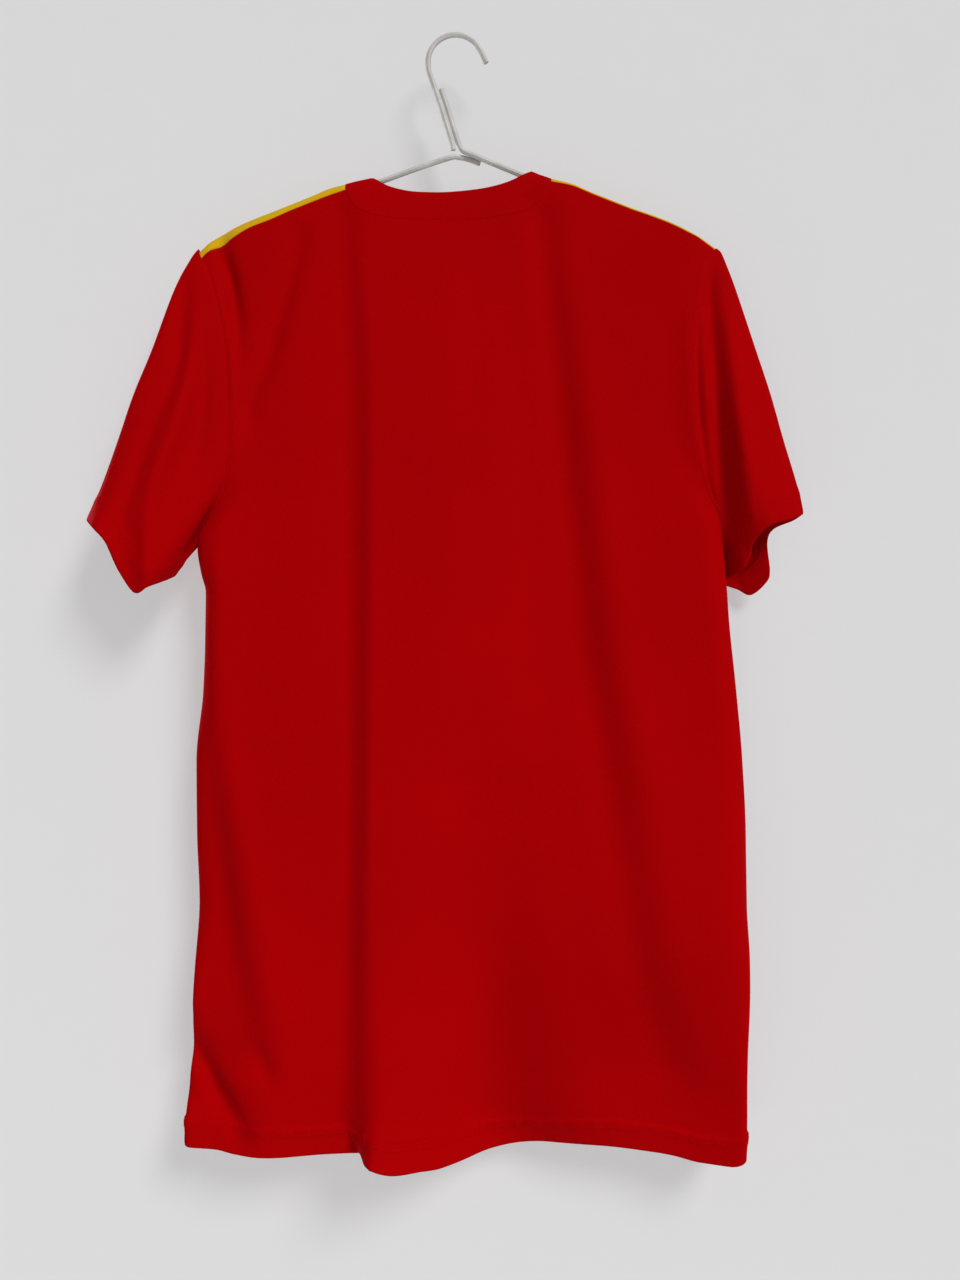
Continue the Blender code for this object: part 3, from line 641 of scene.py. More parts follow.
    def across(self, u: Array, z: Array) -> Array:
        """The place of a column at a height. Only what is near an edge follows its curve.

        Args:
            u: Fractions from the left edge to the right one.
            z: Heights.

        Returns:
            Places along X.
        """
        down = (z - self.edges[0][0]) / (self.edges[-1][0] - self.edges[0][0])
        left = self.tip_left + (self.line_left - self.tip_left) * down
        right = self.tip_right + (self.line_right - self.tip_right) * down
        from_left = column(self.edges, 0, 1, z) + self.side_gap - left
        from_right = column(self.edges, 0, 2, z) - self.side_gap - right
        near_left = 1 - ease(u / self.edge_reach)
        near_right = 1 - ease((1 - u) / self.edge_reach)
        return left + (right - left) * u + from_left * near_left + from_right * near_right

    def inward(self, u: Array, z: Array) -> Array:
        """0 at a panel's edge and 1 on its flat part: round at a seam, soft at an armhole."""
        near = np.clip(np.minimum(u, 1 - u) / self.side_round, 0, 1)
        seam = ease((self.underarm + self.seam_above - z) / self.seam_over)
        power = self.round_power + self.square_more * ease((self.square_from - z) / self.square_over)
        square = (1 - (1 - near) ** power) ** (1 / power)
        return seam * square + (1 - seam) * np.sin(near * math.pi / 2)

    def depth(self, face: Face, u: Array, z: Array) -> Array:
        """The depth of a panel.

        Args:
            face: The back or the front.
            u: Fractions across.
            z: Heights.

        Returns:
            Places along Y.
        """
        x = self.across(u, z)
        away = self.inward(u, z)
        if face is Face.BACK:
            edge = column(self.edges, 0, 3, z) - self.seam / 2
            folds = pushed(self.back_folds + self.back_creases, x, z)
            flat = column(self.hangs, 0, 1, z) + folds + self.step(x, z)
            flat = flat + self.wander_back * unevenness(x, z, self.seed_back)
        else:
            edge = column(self.edges, 0, 4, z) + self.seam / 2
            flat = column(self.hangs, 0, 2, z) + pushed(self.front_folds, x, z)
            flat = flat + self.wander_front * unevenness(x, z, self.seed_front)
        return edge + (flat - edge) * away

    def step(self, x: Array, z: Array) -> Array:
        """How far the cloth steps towards the viewer to the right of the long crease."""
        start, rise, forward, finish, fall = (column(self.pleat, 0, k, z) for k in range(1, 6))
        return -forward * ease((x - start) / rise) * (1 - ease((x - finish) / fall))

    def columns(self, face: Face) -> Array:
        """Fractions across a panel, closer at its sides and at the long crease.

        Args:
            face: The back or the front.

        Returns:
            The fractions, from 0 to 1.
        """
        span = self.tip_right - self.tip_left
        left, right = (self.neck_left - self.tip_left) / span, (self.neck_right - self.tip_left) / span
        side = self.side_round * (1 - np.cos(np.linspace(0, math.pi / 2, self.side_columns)))
        one = np.linspace(self.side_round, left, self.shoulder_columns[0])
        two = np.linspace(right, 1 - self.side_round, self.shoulder_columns[1])
        neck = [np.linspace(left, right, self.front_neck_columns)]
        if face is Face.BACK:
            first, second = self.back_neck_columns
            neck = [np.linspace(left, self.crease_at, first), np.linspace(self.crease_at, right, second)]
        return np.unique(np.round(np.concatenate([side, one, *neck, two, 1 - side]), 6))

    def tops(self, face: Face) -> Array:
        """The place of each column at the panel's upper edge."""
        return self.tip_left + (self.tip_right - self.tip_left) * self.columns(face)

    def grid(self, face: Face, left: Shoulder, right: Shoulder, band: Table) -> Grid:
        """A panel from its upper edge, past the underarm, to the hem.

        Args:
            face: The back or the front.
            left: The left shoulder.
            right: The right shoulder.
            band: The neck band's rows on this face.

        Returns:
            The panel.
        """
        u = self.columns(face)
        x = self.tops(face)
        top = np.where(
            x < self.neck_left, left.height(x, face),
            np.where(x > self.neck_right, right.height(x, face), column(band, 0, 1, x)),
        ) - self.top_gap
        even = np.linspace(self.even_from, 1, self.upper_rows - len(self.close_rows))
        fraction = np.concatenate([self.close_rows, even])[:, None]
        upper = top + (self.underarm - top) * fraction
        hem = column(self.hem_line, 0, 1, u)
        lower = self.underarm + (hem - self.underarm) * np.linspace(0, 1, self.lower_rows + 1)[1:, None]
        z = np.concatenate([upper, lower])
        u = np.broadcast_to(u, z.shape)
        points = np.stack([self.across(u, z), self.depth(face, u, z), z], axis=-1)
        return Grid(points, flip=face is Face.FRONT)


@dataclass(frozen=True)
class NeckBand:
    """The rib band round the neck: rows of seam x and z, edge x and z, and depth."""

    back: Table = (
        (-86.5, -125.6, -67.5, -113, 0), (-83, -133.4, -63, -116.4, -5.8),
        (-77, -140.4, -52.5, -122.6, -8.2), (-66, -145.8, -38, -126.4, -8.6),
        (-42, -149.4, -24.5, -127.6, -8.8), (-10, -150.6, -7, -127.7, -9), (22, -149, 14, -125.7, -8.8),
        (49, -144, 29, -123, -8.6), (62, -138, 43, -118.6, -8.2), (71, -129, 54, -112.4, -5.8),
        (76, -118.6, 60.6, -107.6, 0),
    )
    front: Table = (
        (-86.5, -146, -67.5, -113, 0), (-86, -151, -67.4, -115.6, 5), (-84, -162, -67, -126, 8.5),
        (-77, -181, -62, -152, 12.5), (-62, -199, -51, -176, 14), (-38, -213, -33, -192, 14.5),
        (-5, -218, -5, -198, 14.5), (28, -213, 22, -192, 14.5), (52, -199, 41, -175, 14),
        (67, -180, 52, -150, 12.5), (74, -158, 57, -121, 8.5), (75.6, -143, 60, -110.2, 5),
        (76, -138, 60.6, -107.6, 0),
    )
    gap: float = 0.1
    layer: float = 1.3
    thickness: float = 1.0
    crown: float = 0.35
    edge_points: int = 400
    rows: tuple[float, ...] = (
        0.0, 0.008, 0.035, 0.08, 0.16, 0.26, 0.38, 0.5, 0.62, 0.74, 0.84, 0.91, 0.96, 0.99, 1.0,
    )

    def grid(self, ends: dict[tuple[Side, Face], Array], tops: dict[Face, Array]) -> Grid:
        """The band from its seam over its folded edge and down inside.

        Args:
            ends: The neck ends of the shoulder panels, from their ridges to their seams.
            tops: The upper edges of the panels between the corners of the neck.

        Returns:
            The band, as rings.
        """
        halves = []
        for face, rows in ((Face.BACK, self.back), (Face.FRONT, self.front)):
            seam = np.vstack([ends[Side.LEFT, face][:-1], tops[face], ends[Side.RIGHT, face][-2::-1]])
            fine = through([(row[2], row[4], row[3]) for row in rows], self.edge_points)
            run = lengths(seam)
            run = run / run[-1] * (len(fine) - 1)
            edge = read_along(run, np.arange(len(fine)), fine)
            halves.append((seam, edge))
        seam = np.vstack([halves[0][0][:-1], halves[1][0][:0:-1]])
        edge = np.vstack([halves[0][1][:-1], halves[1][1][:0:-1]])
        towards = edge - seam
        towards /= np.linalg.norm(towards, axis=1)[:, None]
        seam = seam + towards * self.gap
        flat = Grid(np.array([seam + (edge - seam) * t for t in self.rows]), flip=True, closed=True)
        crown = self.crown * np.sin(math.pi * np.array(self.rows))
        outer = flat.lifted(np.broadcast_to(crown[:, None], flat.points.shape[:2]))
        inward = -outer.normals() * self.layer
        points = outer.points.copy()
        points[-1] += inward[-1] / 2
        inner = (outer.points + inward)[1:-1][::-1]
        return Grid(np.concatenate([points, inner]), flip=True, closed=True)


@dataclass(frozen=True)
class Sleeve:
    """A set-in short sleeve, as a tube from its armhole to its cuff. Points are x, z, depth."""

    side: Side
    cuff_back: Table
    cuff_front: Table
    outer: Table
    under: Table
    folds: tuple[Fold, ...]
    creases: tuple[Fold, ...]
    rows: int = 92
    # How far its armhole stands clear of the body, how much more low down, and over what height
    clear: float = 0.25
    clear_low: float = 0.8
    low_reach: float = 60.0
    # How far it rolls out, the least share of that and what is added, and over what heights it fades
    roll: float = 3.0
    roll_least: float = 0.3
    roll_more: float = 0.7
    roll_top: float = 30.0
    roll_foot: float = 25.0
    # Shares of the roll in the rows between its armhole and the tube
    join: tuple[float, ...] = (0, 0.12, 0.3, 0.6)
    # Fractions over which its folds settle at the outer fold, the underarm and the armhole
    settle_outer: float = 0.07
    settle_under: float = 0.12
    settle_armhole: float = 0.08
    wander: float = 0.2
    seed: float = 1.3

    @staticmethod
    def route(table: Table, count: int) -> Array:
        """A smooth line of points through one of the tables."""
        return through([(x, depth, z) for x, z, depth in table], count)

    def ring(self, trunk: Trunk, shoulder: Array, panel: Array) -> Array:
        """The armhole from the shoulder's ridge down to the underarm, a seam outside the body."""
        at = 0 if self.side is Side.LEFT else -1
        line = np.vstack([shoulder[:-1], panel[:trunk.upper_rows, at]])
        low = ease(1 - (line[:, 2] - trunk.underarm) / self.low_reach)
        line[:, 0] += self.side.value * (self.clear + self.clear_low * low)
        line[-1, 1] = 0.0
        return line

    def rolled(self, ring: Array) -> Array:
        """How far the sleeve rolls out from each point of its armhole, less at its two ends."""
        top = ease((ring[0, 2] - ring[:, 2]) / self.roll_top)
        foot = ease(1 - (ring[:, 2] - ring[-1, 2]) / self.roll_foot)
        share = self.roll_least + self.roll_more * top - self.roll_more * foot
        return np.outer(self.side.value * self.roll * share, (1, 0, 0))

    def half(self, ring: Array, cuff: Table, route: Array, below: Array, face: Face) -> Array:
        """One half of the tube, from its armhole to its cuff.

        Args:
            ring: The armhole's points on this face.
            cuff: The cuff's table on this face.
            route: The outer fold.
            below: The underarm line.
            face: The back or the front.

        Returns:
            The points, in rows from the armhole.
        """
        roll = self.rolled(ring)
        start, end = ring + roll, self.route(cuff, len(ring))
        t = np.linspace(0, 1, len(ring))[None, :, None]
        v = np.linspace(0, 1, self.rows)[:, None, None]
        sides = (1 - t) * route[:, None] + t * below[:, None]
        top, foot = (1 - t) * route[0] + t * below[0], (1 - t) * route[-1] + t * below[-1]
        grid = (1 - v) * start + v * end + sides - (1 - v) * top - v * foot
        x, z = grid[..., 0], grid[..., 2]
        inside = ease(t[..., 0] / self.settle_outer) * ease((1 - t[..., 0]) / self.settle_under)
        settle = ease(v[..., 0] / self.settle_armhole)
        if face is Face.BACK:
            grid[..., 1] += pushed(self.folds + self.creases, x, z) * inside * settle
        seed = self.seed + self.side.value + face.value
        grid[..., 1] += self.wander * unevenness(x, z, seed) * inside * settle
        join = [ring + roll * share for share in self.join]
        return np.concatenate([np.array(join), grid])

    def grid(self, rings: dict[Face, Array]) -> Grid:
        """The whole tube."""
        ring = rings[Face.BACK]
        route, below = self.route(self.outer, self.rows), self.route(self.under, self.rows)
        route[0], below[0] = (ring + self.rolled(ring))[[0, -1]]
        back = self.half(rings[Face.BACK], self.cuff_back, route, below, Face.BACK)
        front = self.half(rings[Face.FRONT], self.cuff_front, route, below, Face.FRONT)
        points = np.concatenate([back[:, :-1], front[:, :0:-1]], axis=1)
        return Grid(points, flip=self.side is Side.RIGHT, closed=True)


# Finishes


def fill(node: Node, values: dict[str, object]) -> None:
    """Sets a node's inputs by their names."""
    for name, value in values.items():
        node.inputs[name].default_value = value


class Effects:
    """Shader groups that more than one finish uses, each built once."""

    # How far a loop's legs lean, what legs and halves weigh in its height, and the least of the shade painted
    # between its loops
    LEAN, LEG, HALF, LEAST = 1.5, 0.6, 0.4, 0.35
    # Each scale of the mottle: its name, detail and share
    SCALES = (("Broad", 3.0, 0.65), ("Fine", 2.0, 0.35))

    @staticmethod
    def group(name: str, inputs: dict[str, float | None], *outputs: str) -> tuple[Tree, Node, Node]:
        """Starts a group, whose inputs without a number are vectors, with its two end nodes."""
        group = bpy.data.node_groups.new(name, "ShaderNodeTree")
        for label, value in inputs.items():
            kind = "NodeSocketVector" if value is None else "NodeSocketFloat"
            made = group.interface.new_socket(name=label, in_out="INPUT", socket_type=kind)
            if value is not None:
                made.default_value = value
        for label in outputs:
            group.interface.new_socket(name=label, in_out="OUTPUT", socket_type="NodeSocketFloat")
        return group, group.nodes.new("NodeGroupInput"), group.nodes.new("NodeGroupOutput")

    @staticmethod
    def maths(tree: Tree, operation: str, one: object, two: object = None) -> Socket:
        """Adds a Math node whose inputs are sockets or numbers, and gives its output."""
        node = tree.nodes.new("ShaderNodeMath")
        node.operation = operation
        for slot, value in zip(node.inputs, (one, two)):
            if isinstance(value, Socket):
                tree.links.new(value, slot)
            elif value is not None:
                slot.default_value = float(value)
        return node.outputs[0]

    @classmethod
    def knit(cls) -> Tree:
        """The loops of a fine knit on flat coordinates in metres, with shade painted between them.

        Returns:
            A group that takes Flat, Wales and Courses and gives Height and Shade, a painted shade that is
            darkest between the loops.
        """
        if "knit_loops" in bpy.data.node_groups:
            return bpy.data.node_groups["knit_loops"]
        inputs = {"Flat": None, "Wales": 1100.0, "Courses": 900.0}
        group, taken, given = cls.group("knit_loops", inputs, "Height", "Shade")
        split = group.nodes.new("ShaderNodeSeparateXYZ")
        group.links.new(taken.outputs["Flat"], split.inputs[0])

        def times(one: object, two: object) -> Socket:
            """The product of two sockets or numbers."""
            return cls.maths(group, "MULTIPLY", one, two)

        def plus(one: object, two: object) -> Socket:
            """The sum of two sockets or numbers."""
            return cls.maths(group, "ADD", one, two)

        wale = cls.maths(group, "FRACT", times(split.outputs["X"], taken.outputs["Wales"]))
        off = cls.maths(group, "ABSOLUTE", cls.maths(group, "SUBTRACT", wale, 0.5))
        leg = cls.maths(group, "SUBTRACT", 1.0, times(times(off, off), 4.0))
        slant = plus(times(split.outputs["Y"], taken.outputs["Courses"]), times(off, cls.LEAN))
        half = plus(times(cls.maths(group, "SINE", times(slant, 2 * math.pi)), 0.5), 0.5)
        group.links.new(plus(times(leg, cls.LEG), times(half, cls.HALF)), given.inputs["Height"])
        # Shade is painted shade: light on the loops' legs and dark in the hollows between wales and courses
        group.links.new(times(leg, plus(half, cls.LEAST)), given.inputs["Shade"])
        return group

    @classmethod
    def mottle(cls) -> Tree:
        """Soft unevenness of a surface at two scales.

        Returns:
            A group that takes Place, Broad and Fine scales and gives Value.
        """
        if "soft_mottle" in bpy.data.node_groups:
            return bpy.data.node_groups["soft_mottle"]
        inputs = {"Place": None, "Broad": 9.0, "Fine": 600.0}
        group, taken, given = cls.group("soft_mottle", inputs, "Value")
        parts = []
        for name, detail, share in cls.SCALES:
            noise = group.nodes.new("ShaderNodeTexNoise")
            noise.inputs["Detail"].default_value = detail
            group.links.new(taken.outputs["Place"], noise.inputs["Vector"])
            group.links.new(taken.outputs[name], noise.inputs["Scale"])
            parts.append(cls.maths(group, "MULTIPLY", noise.outputs[0], share))
        group.links.new(cls.maths(group, "ADD", *parts), given.inputs["Value"])
        return group


def placed(tree: Tree, group: Tree, **values: float) -> Node:
    """Places a group in a material with its own values."""
    node = tree.nodes.new("ShaderNodeGroup")
    node.node_tree = group
    fill(node, values)
    return node


def blended(tree: Tree, factor: Socket, low: Colour, high: Colour) -> Socket:
    """A colour between two by a factor."""
    mix = tree.nodes.new("ShaderNodeMix")
    mix.data_type = "RGBA"
    fill(mix, {"A": (*low, 1), "B": (*high, 1)})
    tree.links.new(factor, mix.inputs["Factor"])
    return mix.outputs["Result"]


def mottled(tree: Tree, broad: float, fine: float) -> Socket:
    """Soft unevenness on the object's own coordinates, at two scales."""
    place = tree.nodes.new("ShaderNodeTexCoord")
    mottle = placed(tree, Effects.mottle(), Broad=broad, Fine=fine)
    tree.links.new(place.outputs["Object"], mottle.inputs["Place"])
    return mottle.outputs["Value"]


def started(name: str, specular: float) -> tuple[bpy.types.Material, Tree, Node]:
    """A new material, its tree and its shader."""
    material = bpy.data.materials.new(name)
    material.use_nodes = True
    shader = material.node_tree.nodes["Principled BSDF"]
    fill(shader, {"Specular IOR Level": specular})
    return material, material.node_tree, shader


def bumped(tree: Tree, shader: Node, height: Socket, strength: float, relief: float) -> None:
    """Raises a height on the shader's normal, by a strength and a relief in metres."""
    bump = tree.nodes.new("ShaderNodeBump")
    fill(bump, {"Strength": strength, "Distance": relief})
    tree.links.new(height, bump.inputs["Height"])
    tree.links.new(bump.outputs["Normal"], shader.inputs["Normal"])


def spread(tree: Tree, value: Socket, *span: float) -> Socket:
    """Maps a value from one span to another: from low, from high, to low, to high."""
    node = tree.nodes.new("ShaderNodeMapRange")
    tree.links.new(value, node.inputs["Value"])
    fill(node, dict(zip(("From Min", "From Max", "To Min", "To Max"), span)))
    return node.outputs["Result"]


@dataclass(frozen=True)
class KnitFinish:
    """A fine polyester knit: two tones of its colour, loops with shade painted between them, soft sheen."""

    name: str
    light: Colour
    dark: Colour
    sheen_tint: Colour
    wales: float = 1100.0
    courses: float = 850.0
    relief: float = 0.00012
    strength: float = 0.35
    roughness: float = 0.78
    patchy: float = 0.06
    sheen: float = 0.5
    sheen_roughness: float = 0.5
    specular: float = 0.01
    # The scales of its unevenness, the span of it that is used, its share in the tone, and the share of the
    # shade painted between the loops
    grain: tuple[float, float] = (7.0, 420.0)
    span: tuple[float, float] = (0.3, 0.7)
    patch_share: float = 0.7
    painted_loop_shade_share: float = 0.3

    def make(self) -> bpy.types.Material:
        """Builds the material.

        Returns:
            The material.
        """
        material, tree, shader = started(self.name, self.specular)
        sheen = {"Sheen Weight": self.sheen, "Sheen Roughness": self.sheen_roughness}
        fill(shader, {**sheen, "Sheen Tint": (*self.sheen_tint, 1)})
        flat = tree.nodes.new("ShaderNodeUVMap")
        flat.uv_map = "Cut"
        loops = placed(tree, Effects.knit(), Wales=self.wales, Courses=self.courses)
        tree.links.new(flat.outputs["UV"], loops.inputs["Flat"])
        mottle = mottled(tree, *self.grain)
        broad = spread(tree, mottle, *self.span, 0, self.patch_share)
        # The loops' painted shade is added to the random mottle and darkens the colour between the loops
        fine = spread(tree, loops.outputs["Shade"], 0, 1, 0, self.painted_loop_shade_share)
        tone = Effects.maths(tree, "ADD", broad, fine)
        tree.links.new(blended(tree, tone, self.dark, self.light), shader.inputs["Base Color"])
        rough = spread(tree, mottle, *self.span, self.roughness - self.patchy, self.roughness + self.patchy)
        tree.links.new(rough, shader.inputs["Roughness"])
        bumped(tree, shader, loops.outputs["Height"], self.strength, self.relief)
        return material


@dataclass(frozen=True)
class CoatFinish:
    """The wire's white plastic coat: slightly yellowed and dusty, with a soft gloss."""

    name: str = "white_coat_finish"
    clean: Colour = (0.61, 0.6, 0.57)
    dusty: Colour = (0.47, 0.45, 0.42)
    roughness: float = 0.46
    rougher: float = 0.12
    smoother: float = 0.05
    specular: float = 0.15
    strength: float = 0.3
    relief: float = 0.0002
    # The scales of its unevenness, and the spans of it that its colour and its gloss use
    grain: tuple[float, float] = (60.0, 900.0)
    colour_span: tuple[float, float] = (0.35, 0.65)
    gloss_span: tuple[float, float] = (0.3, 0.7)

    def make(self) -> bpy.types.Material:
        """Builds the material.

        Returns:
            The material.
        """
        material, tree, shader = started(self.name, self.specular)
        mottle = mottled(tree, *self.grain)
        tone = spread(tree, mottle, *self.colour_span, 0, 1)
        tree.links.new(blended(tree, tone, self.dusty, self.clean), shader.inputs["Base Color"])
        dull, clear = self.roughness + self.rougher, self.roughness - self.smoother
        rough = spread(tree, mottle, *self.gloss_span, dull, clear)
        tree.links.new(rough, shader.inputs["Roughness"])
        bumped(tree, shader, mottle, self.strength, self.relief)
        return material


@dataclass(frozen=True)
class StageFinish:
    """A plain matt surface for the stage.

    A one-sided one is seen by the camera alone and from its front, and lets light through.
    """

    name: str
    colour: Colour
    glow: float = 0.0
    one_sided: bool = False
    roughness: float = 0.9
    specular: float = 0.1
    darker: float = 0.97
    grain: tuple[float, float] = (1.2, 40.0)

    def make(self) -> bpy.types.Material:
        """Builds the material.

        Returns:
            The material.
        """
        material, tree, shader = started(self.name, self.specular)
        fill(shader, {"Roughness": self.roughness, "Emission Strength": self.glow})
        darker = tuple(self.darker * value for value in self.colour)
        colour = blended(tree, mottled(tree, *self.grain), darker, self.colour)
        tree.links.new(colour, shader.inputs["Base Color"])
        tree.links.new(colour, shader.inputs["Emission Color"])
        if self.one_sided:
            ray, side = tree.nodes.new("ShaderNodeLightPath"), tree.nodes.new("ShaderNodeNewGeometry")
            seen = Effects.maths(
                tree, "MULTIPLY", ray.outputs["Is Camera Ray"],
                Effects.maths(tree, "SUBTRACT", 1.0, side.outputs["Backfacing"]),
            )
            clear, mix = tree.nodes.new("ShaderNodeBsdfTransparent"), tree.nodes.new("ShaderNodeMixShader")
            tree.links.new(seen, mix.inputs[0])
            tree.links.new(clear.outputs[0], mix.inputs[1])
            tree.links.new(shader.outputs[0], mix.inputs[2])
            tree.links.new(mix.outputs[0], tree.nodes["Material Output"].inputs["Surface"])
        return material


class Palette:
    """Every finish of the jersey and its hanger."""

    def __init__(self) -> None:
        """Builds the materials."""
        tint = (0.7, 0.0, 0.008)
        self.red = KnitFinish("red_knit_finish", (0.385, 0.0, 0.0012), (0.33, 0.0, 0.0008), tint).make()
        self.rib = KnitFinish(
            "red_rib_finish", (0.385, 0.0, 0.0012), (0.32, 0.0, 0.0008), tint,
            wales=560.0, courses=700.0, relief=0.0003, strength=0.4,
        ).make()
        self.yellow = KnitFinish(
            "yellow_knit_finish", (0.66, 0.4, 0.004), (0.58, 0.33, 0.003), (0.9, 0.7, 0.2),
        ).make()
        self.thread = KnitFinish(
            "red_thread_finish", (0.4, 0.0, 0.002), (0.34, 0.0, 0.001), tint, roughness=0.6, sheen=0.1,
        ).make()
        self.coat = CoatFinish().make()


# The whole jersey


LEFT_SHOULDER = Shoulder(Side.LEFT, (
    (-205.5, -180.4, -174.2, -192.5), (-196, -174, -165.4, -188), (-180, -166, -155.4, -181),
    (-163, -155.8, -147.8, -174), (-147, -149.4, -141.4, -168), (-131, -142.2, -135, -162),
    (-115, -135.8, -128.6, -156), (-99, -129.6, -121.8, -150), (-86.5, -125.6, -118.8, -146),
))
RIGHT_SHOULDER = Shoulder(Side.RIGHT, (
    (76, -118.6, -114.8, -138), (92, -121.6, -119, -142), (108, -128.2, -126, -148),
    (124, -134.6, -132.4, -155), (140, -141, -138.8, -161), (156, -146.8, -144.4, -167),
    (172, -153.2, -150.8, -173), (188, -161.2, -158.8, -181), (207.5, -171.6, -170, -190),
))
LEFT_SLEEVE = Sleeve(
    Side.LEFT,
    cuff_back=(
        (-290.6, -386.8, -8), (-275.2, -396.8, -35), (-265.2, -408, -39), (-257.4, -429.4, -36),
        (-246.7, -445.4, -35), (-235.8, -441.8, -31), (-227.4, -436.5, -18), (-224, -431.6, -4),
    ),
    cuff_front=(
        (-290.6, -386.8, -8), (-284, -390, 5), (-272, -400, 14), (-258, -417, 19), (-245, -430, 17),
        (-233, -431, 9), (-224, -431.6, -4),
    ),
    outer=(
        (-203.3, -167.6, 0), (-211, -179, -2), (-223, -203.5, -4), (-239.4, -251.5, -7),
        (-253.2, -287.5, -9), (-265.4, -323.5, -9), (-278.4, -359.5, -9), (-290.6, -386.8, -8),
    ),
    under=((-207.0, -408.4, 0), (-212.0, -414.6, -2), (-217.6, -422.0, -3), (-224.0, -431.6, -4)),
    folds=(
        Fold("outer_trough", (3, 5.5, 3.5), (7, 11),
             ((-210, -214), (-262, -215), (-280, -219), (-320, -235), (-360, -247), (-390, -256),
              (-440, -250))),
        Fold("inner_ridge", (-2, -5.5, -5.5), (8, 9),
             ((-240, -204), (-280, -208), (-320, -216), (-360, -229), (-390, -233), (-440, -233))),
        Fold("armhole_trough", (1, 3, 1), (8, 9), ((-250, -198), (-300, -199), (-350, -202))),
    ),
    creases=(
        Fold("inner_swell", (-1, -2.2, -2.6), (13, 15),
             ((-270, -218), (-320, -226), (-370, -237), (-420, -243))),
        Fold("outer_ridge", (-3, -7, -8), (12, 19),
             ((-200, -219), (-251, -241), (-287, -254), (-323, -266), (-359, -279), (-387, -287),
              (-412, -281))),
    ),
)
RIGHT_SLEEVE = Sleeve(
    Side.RIGHT,
    cuff_back=(
        (275.6, -382.2, -8), (263, -387.4, -20), (247.6, -391.8, -26), (239, -398, -23), (233, -407.6, -17),
        (232, -417, -13), (226, -428, -7), (212.6, -435.6, 14),
    ),
    cuff_front=(
        (275.6, -382.2, -8), (271, -386, 3), (257, -392.2, 9), (251.6, -402.5, 9), (254, -425.5, 10),
        (252, -434.8, 12), (241, -445, 18), (230, -440.4, 20), (212.6, -435.6, 14),
    ),
    outer=(
        (210.8, -170.2, 0), (214.8, -180.6, -2), (223, -203.5, -4), (238, -251.5, -7), (249.2, -287.5, -9),
        (259.4, -323.5, -9), (270.2, -359.5, -9), (275.6, -382.2, -8),
    ),
    under=((214.4, -408.4, 0), (213.4, -422.0, 7), (212.6, -435.6, 14)),
    folds=(
        Fold("deep_trough", (5, 7.5, 5.5), (7.5, 8),
             ((-182, 198), (-236, 202), (-286, 205), (-336, 210), (-384, 215), (-420, 217))),
        Fold("armhole_ridge", (-1, -1.5, -1), (5, 5), ((-200, 196), (-256, 197), (-310, 201), (-350, 206))),
        Fold("armhole_trough", (2, 3.5, 3), (4.5, 5),
             ((-220, 190.5), (-280, 191), (-320, 194), (-350, 199), (-370, 204))),
        Fold("outer_swell", (-2, -5.5, -6), (8, 11), ((-240, 216), (-310, 221.5), (-380, 228))),
    ),
    creases=(
        Fold("deep_shadow", (1, 1.5, 2.5), (5, 7),
             ((-182, 202), (-236, 206), (-286, 210), (-336, 214), (-384, 219), (-420, 220))),
    ),
)


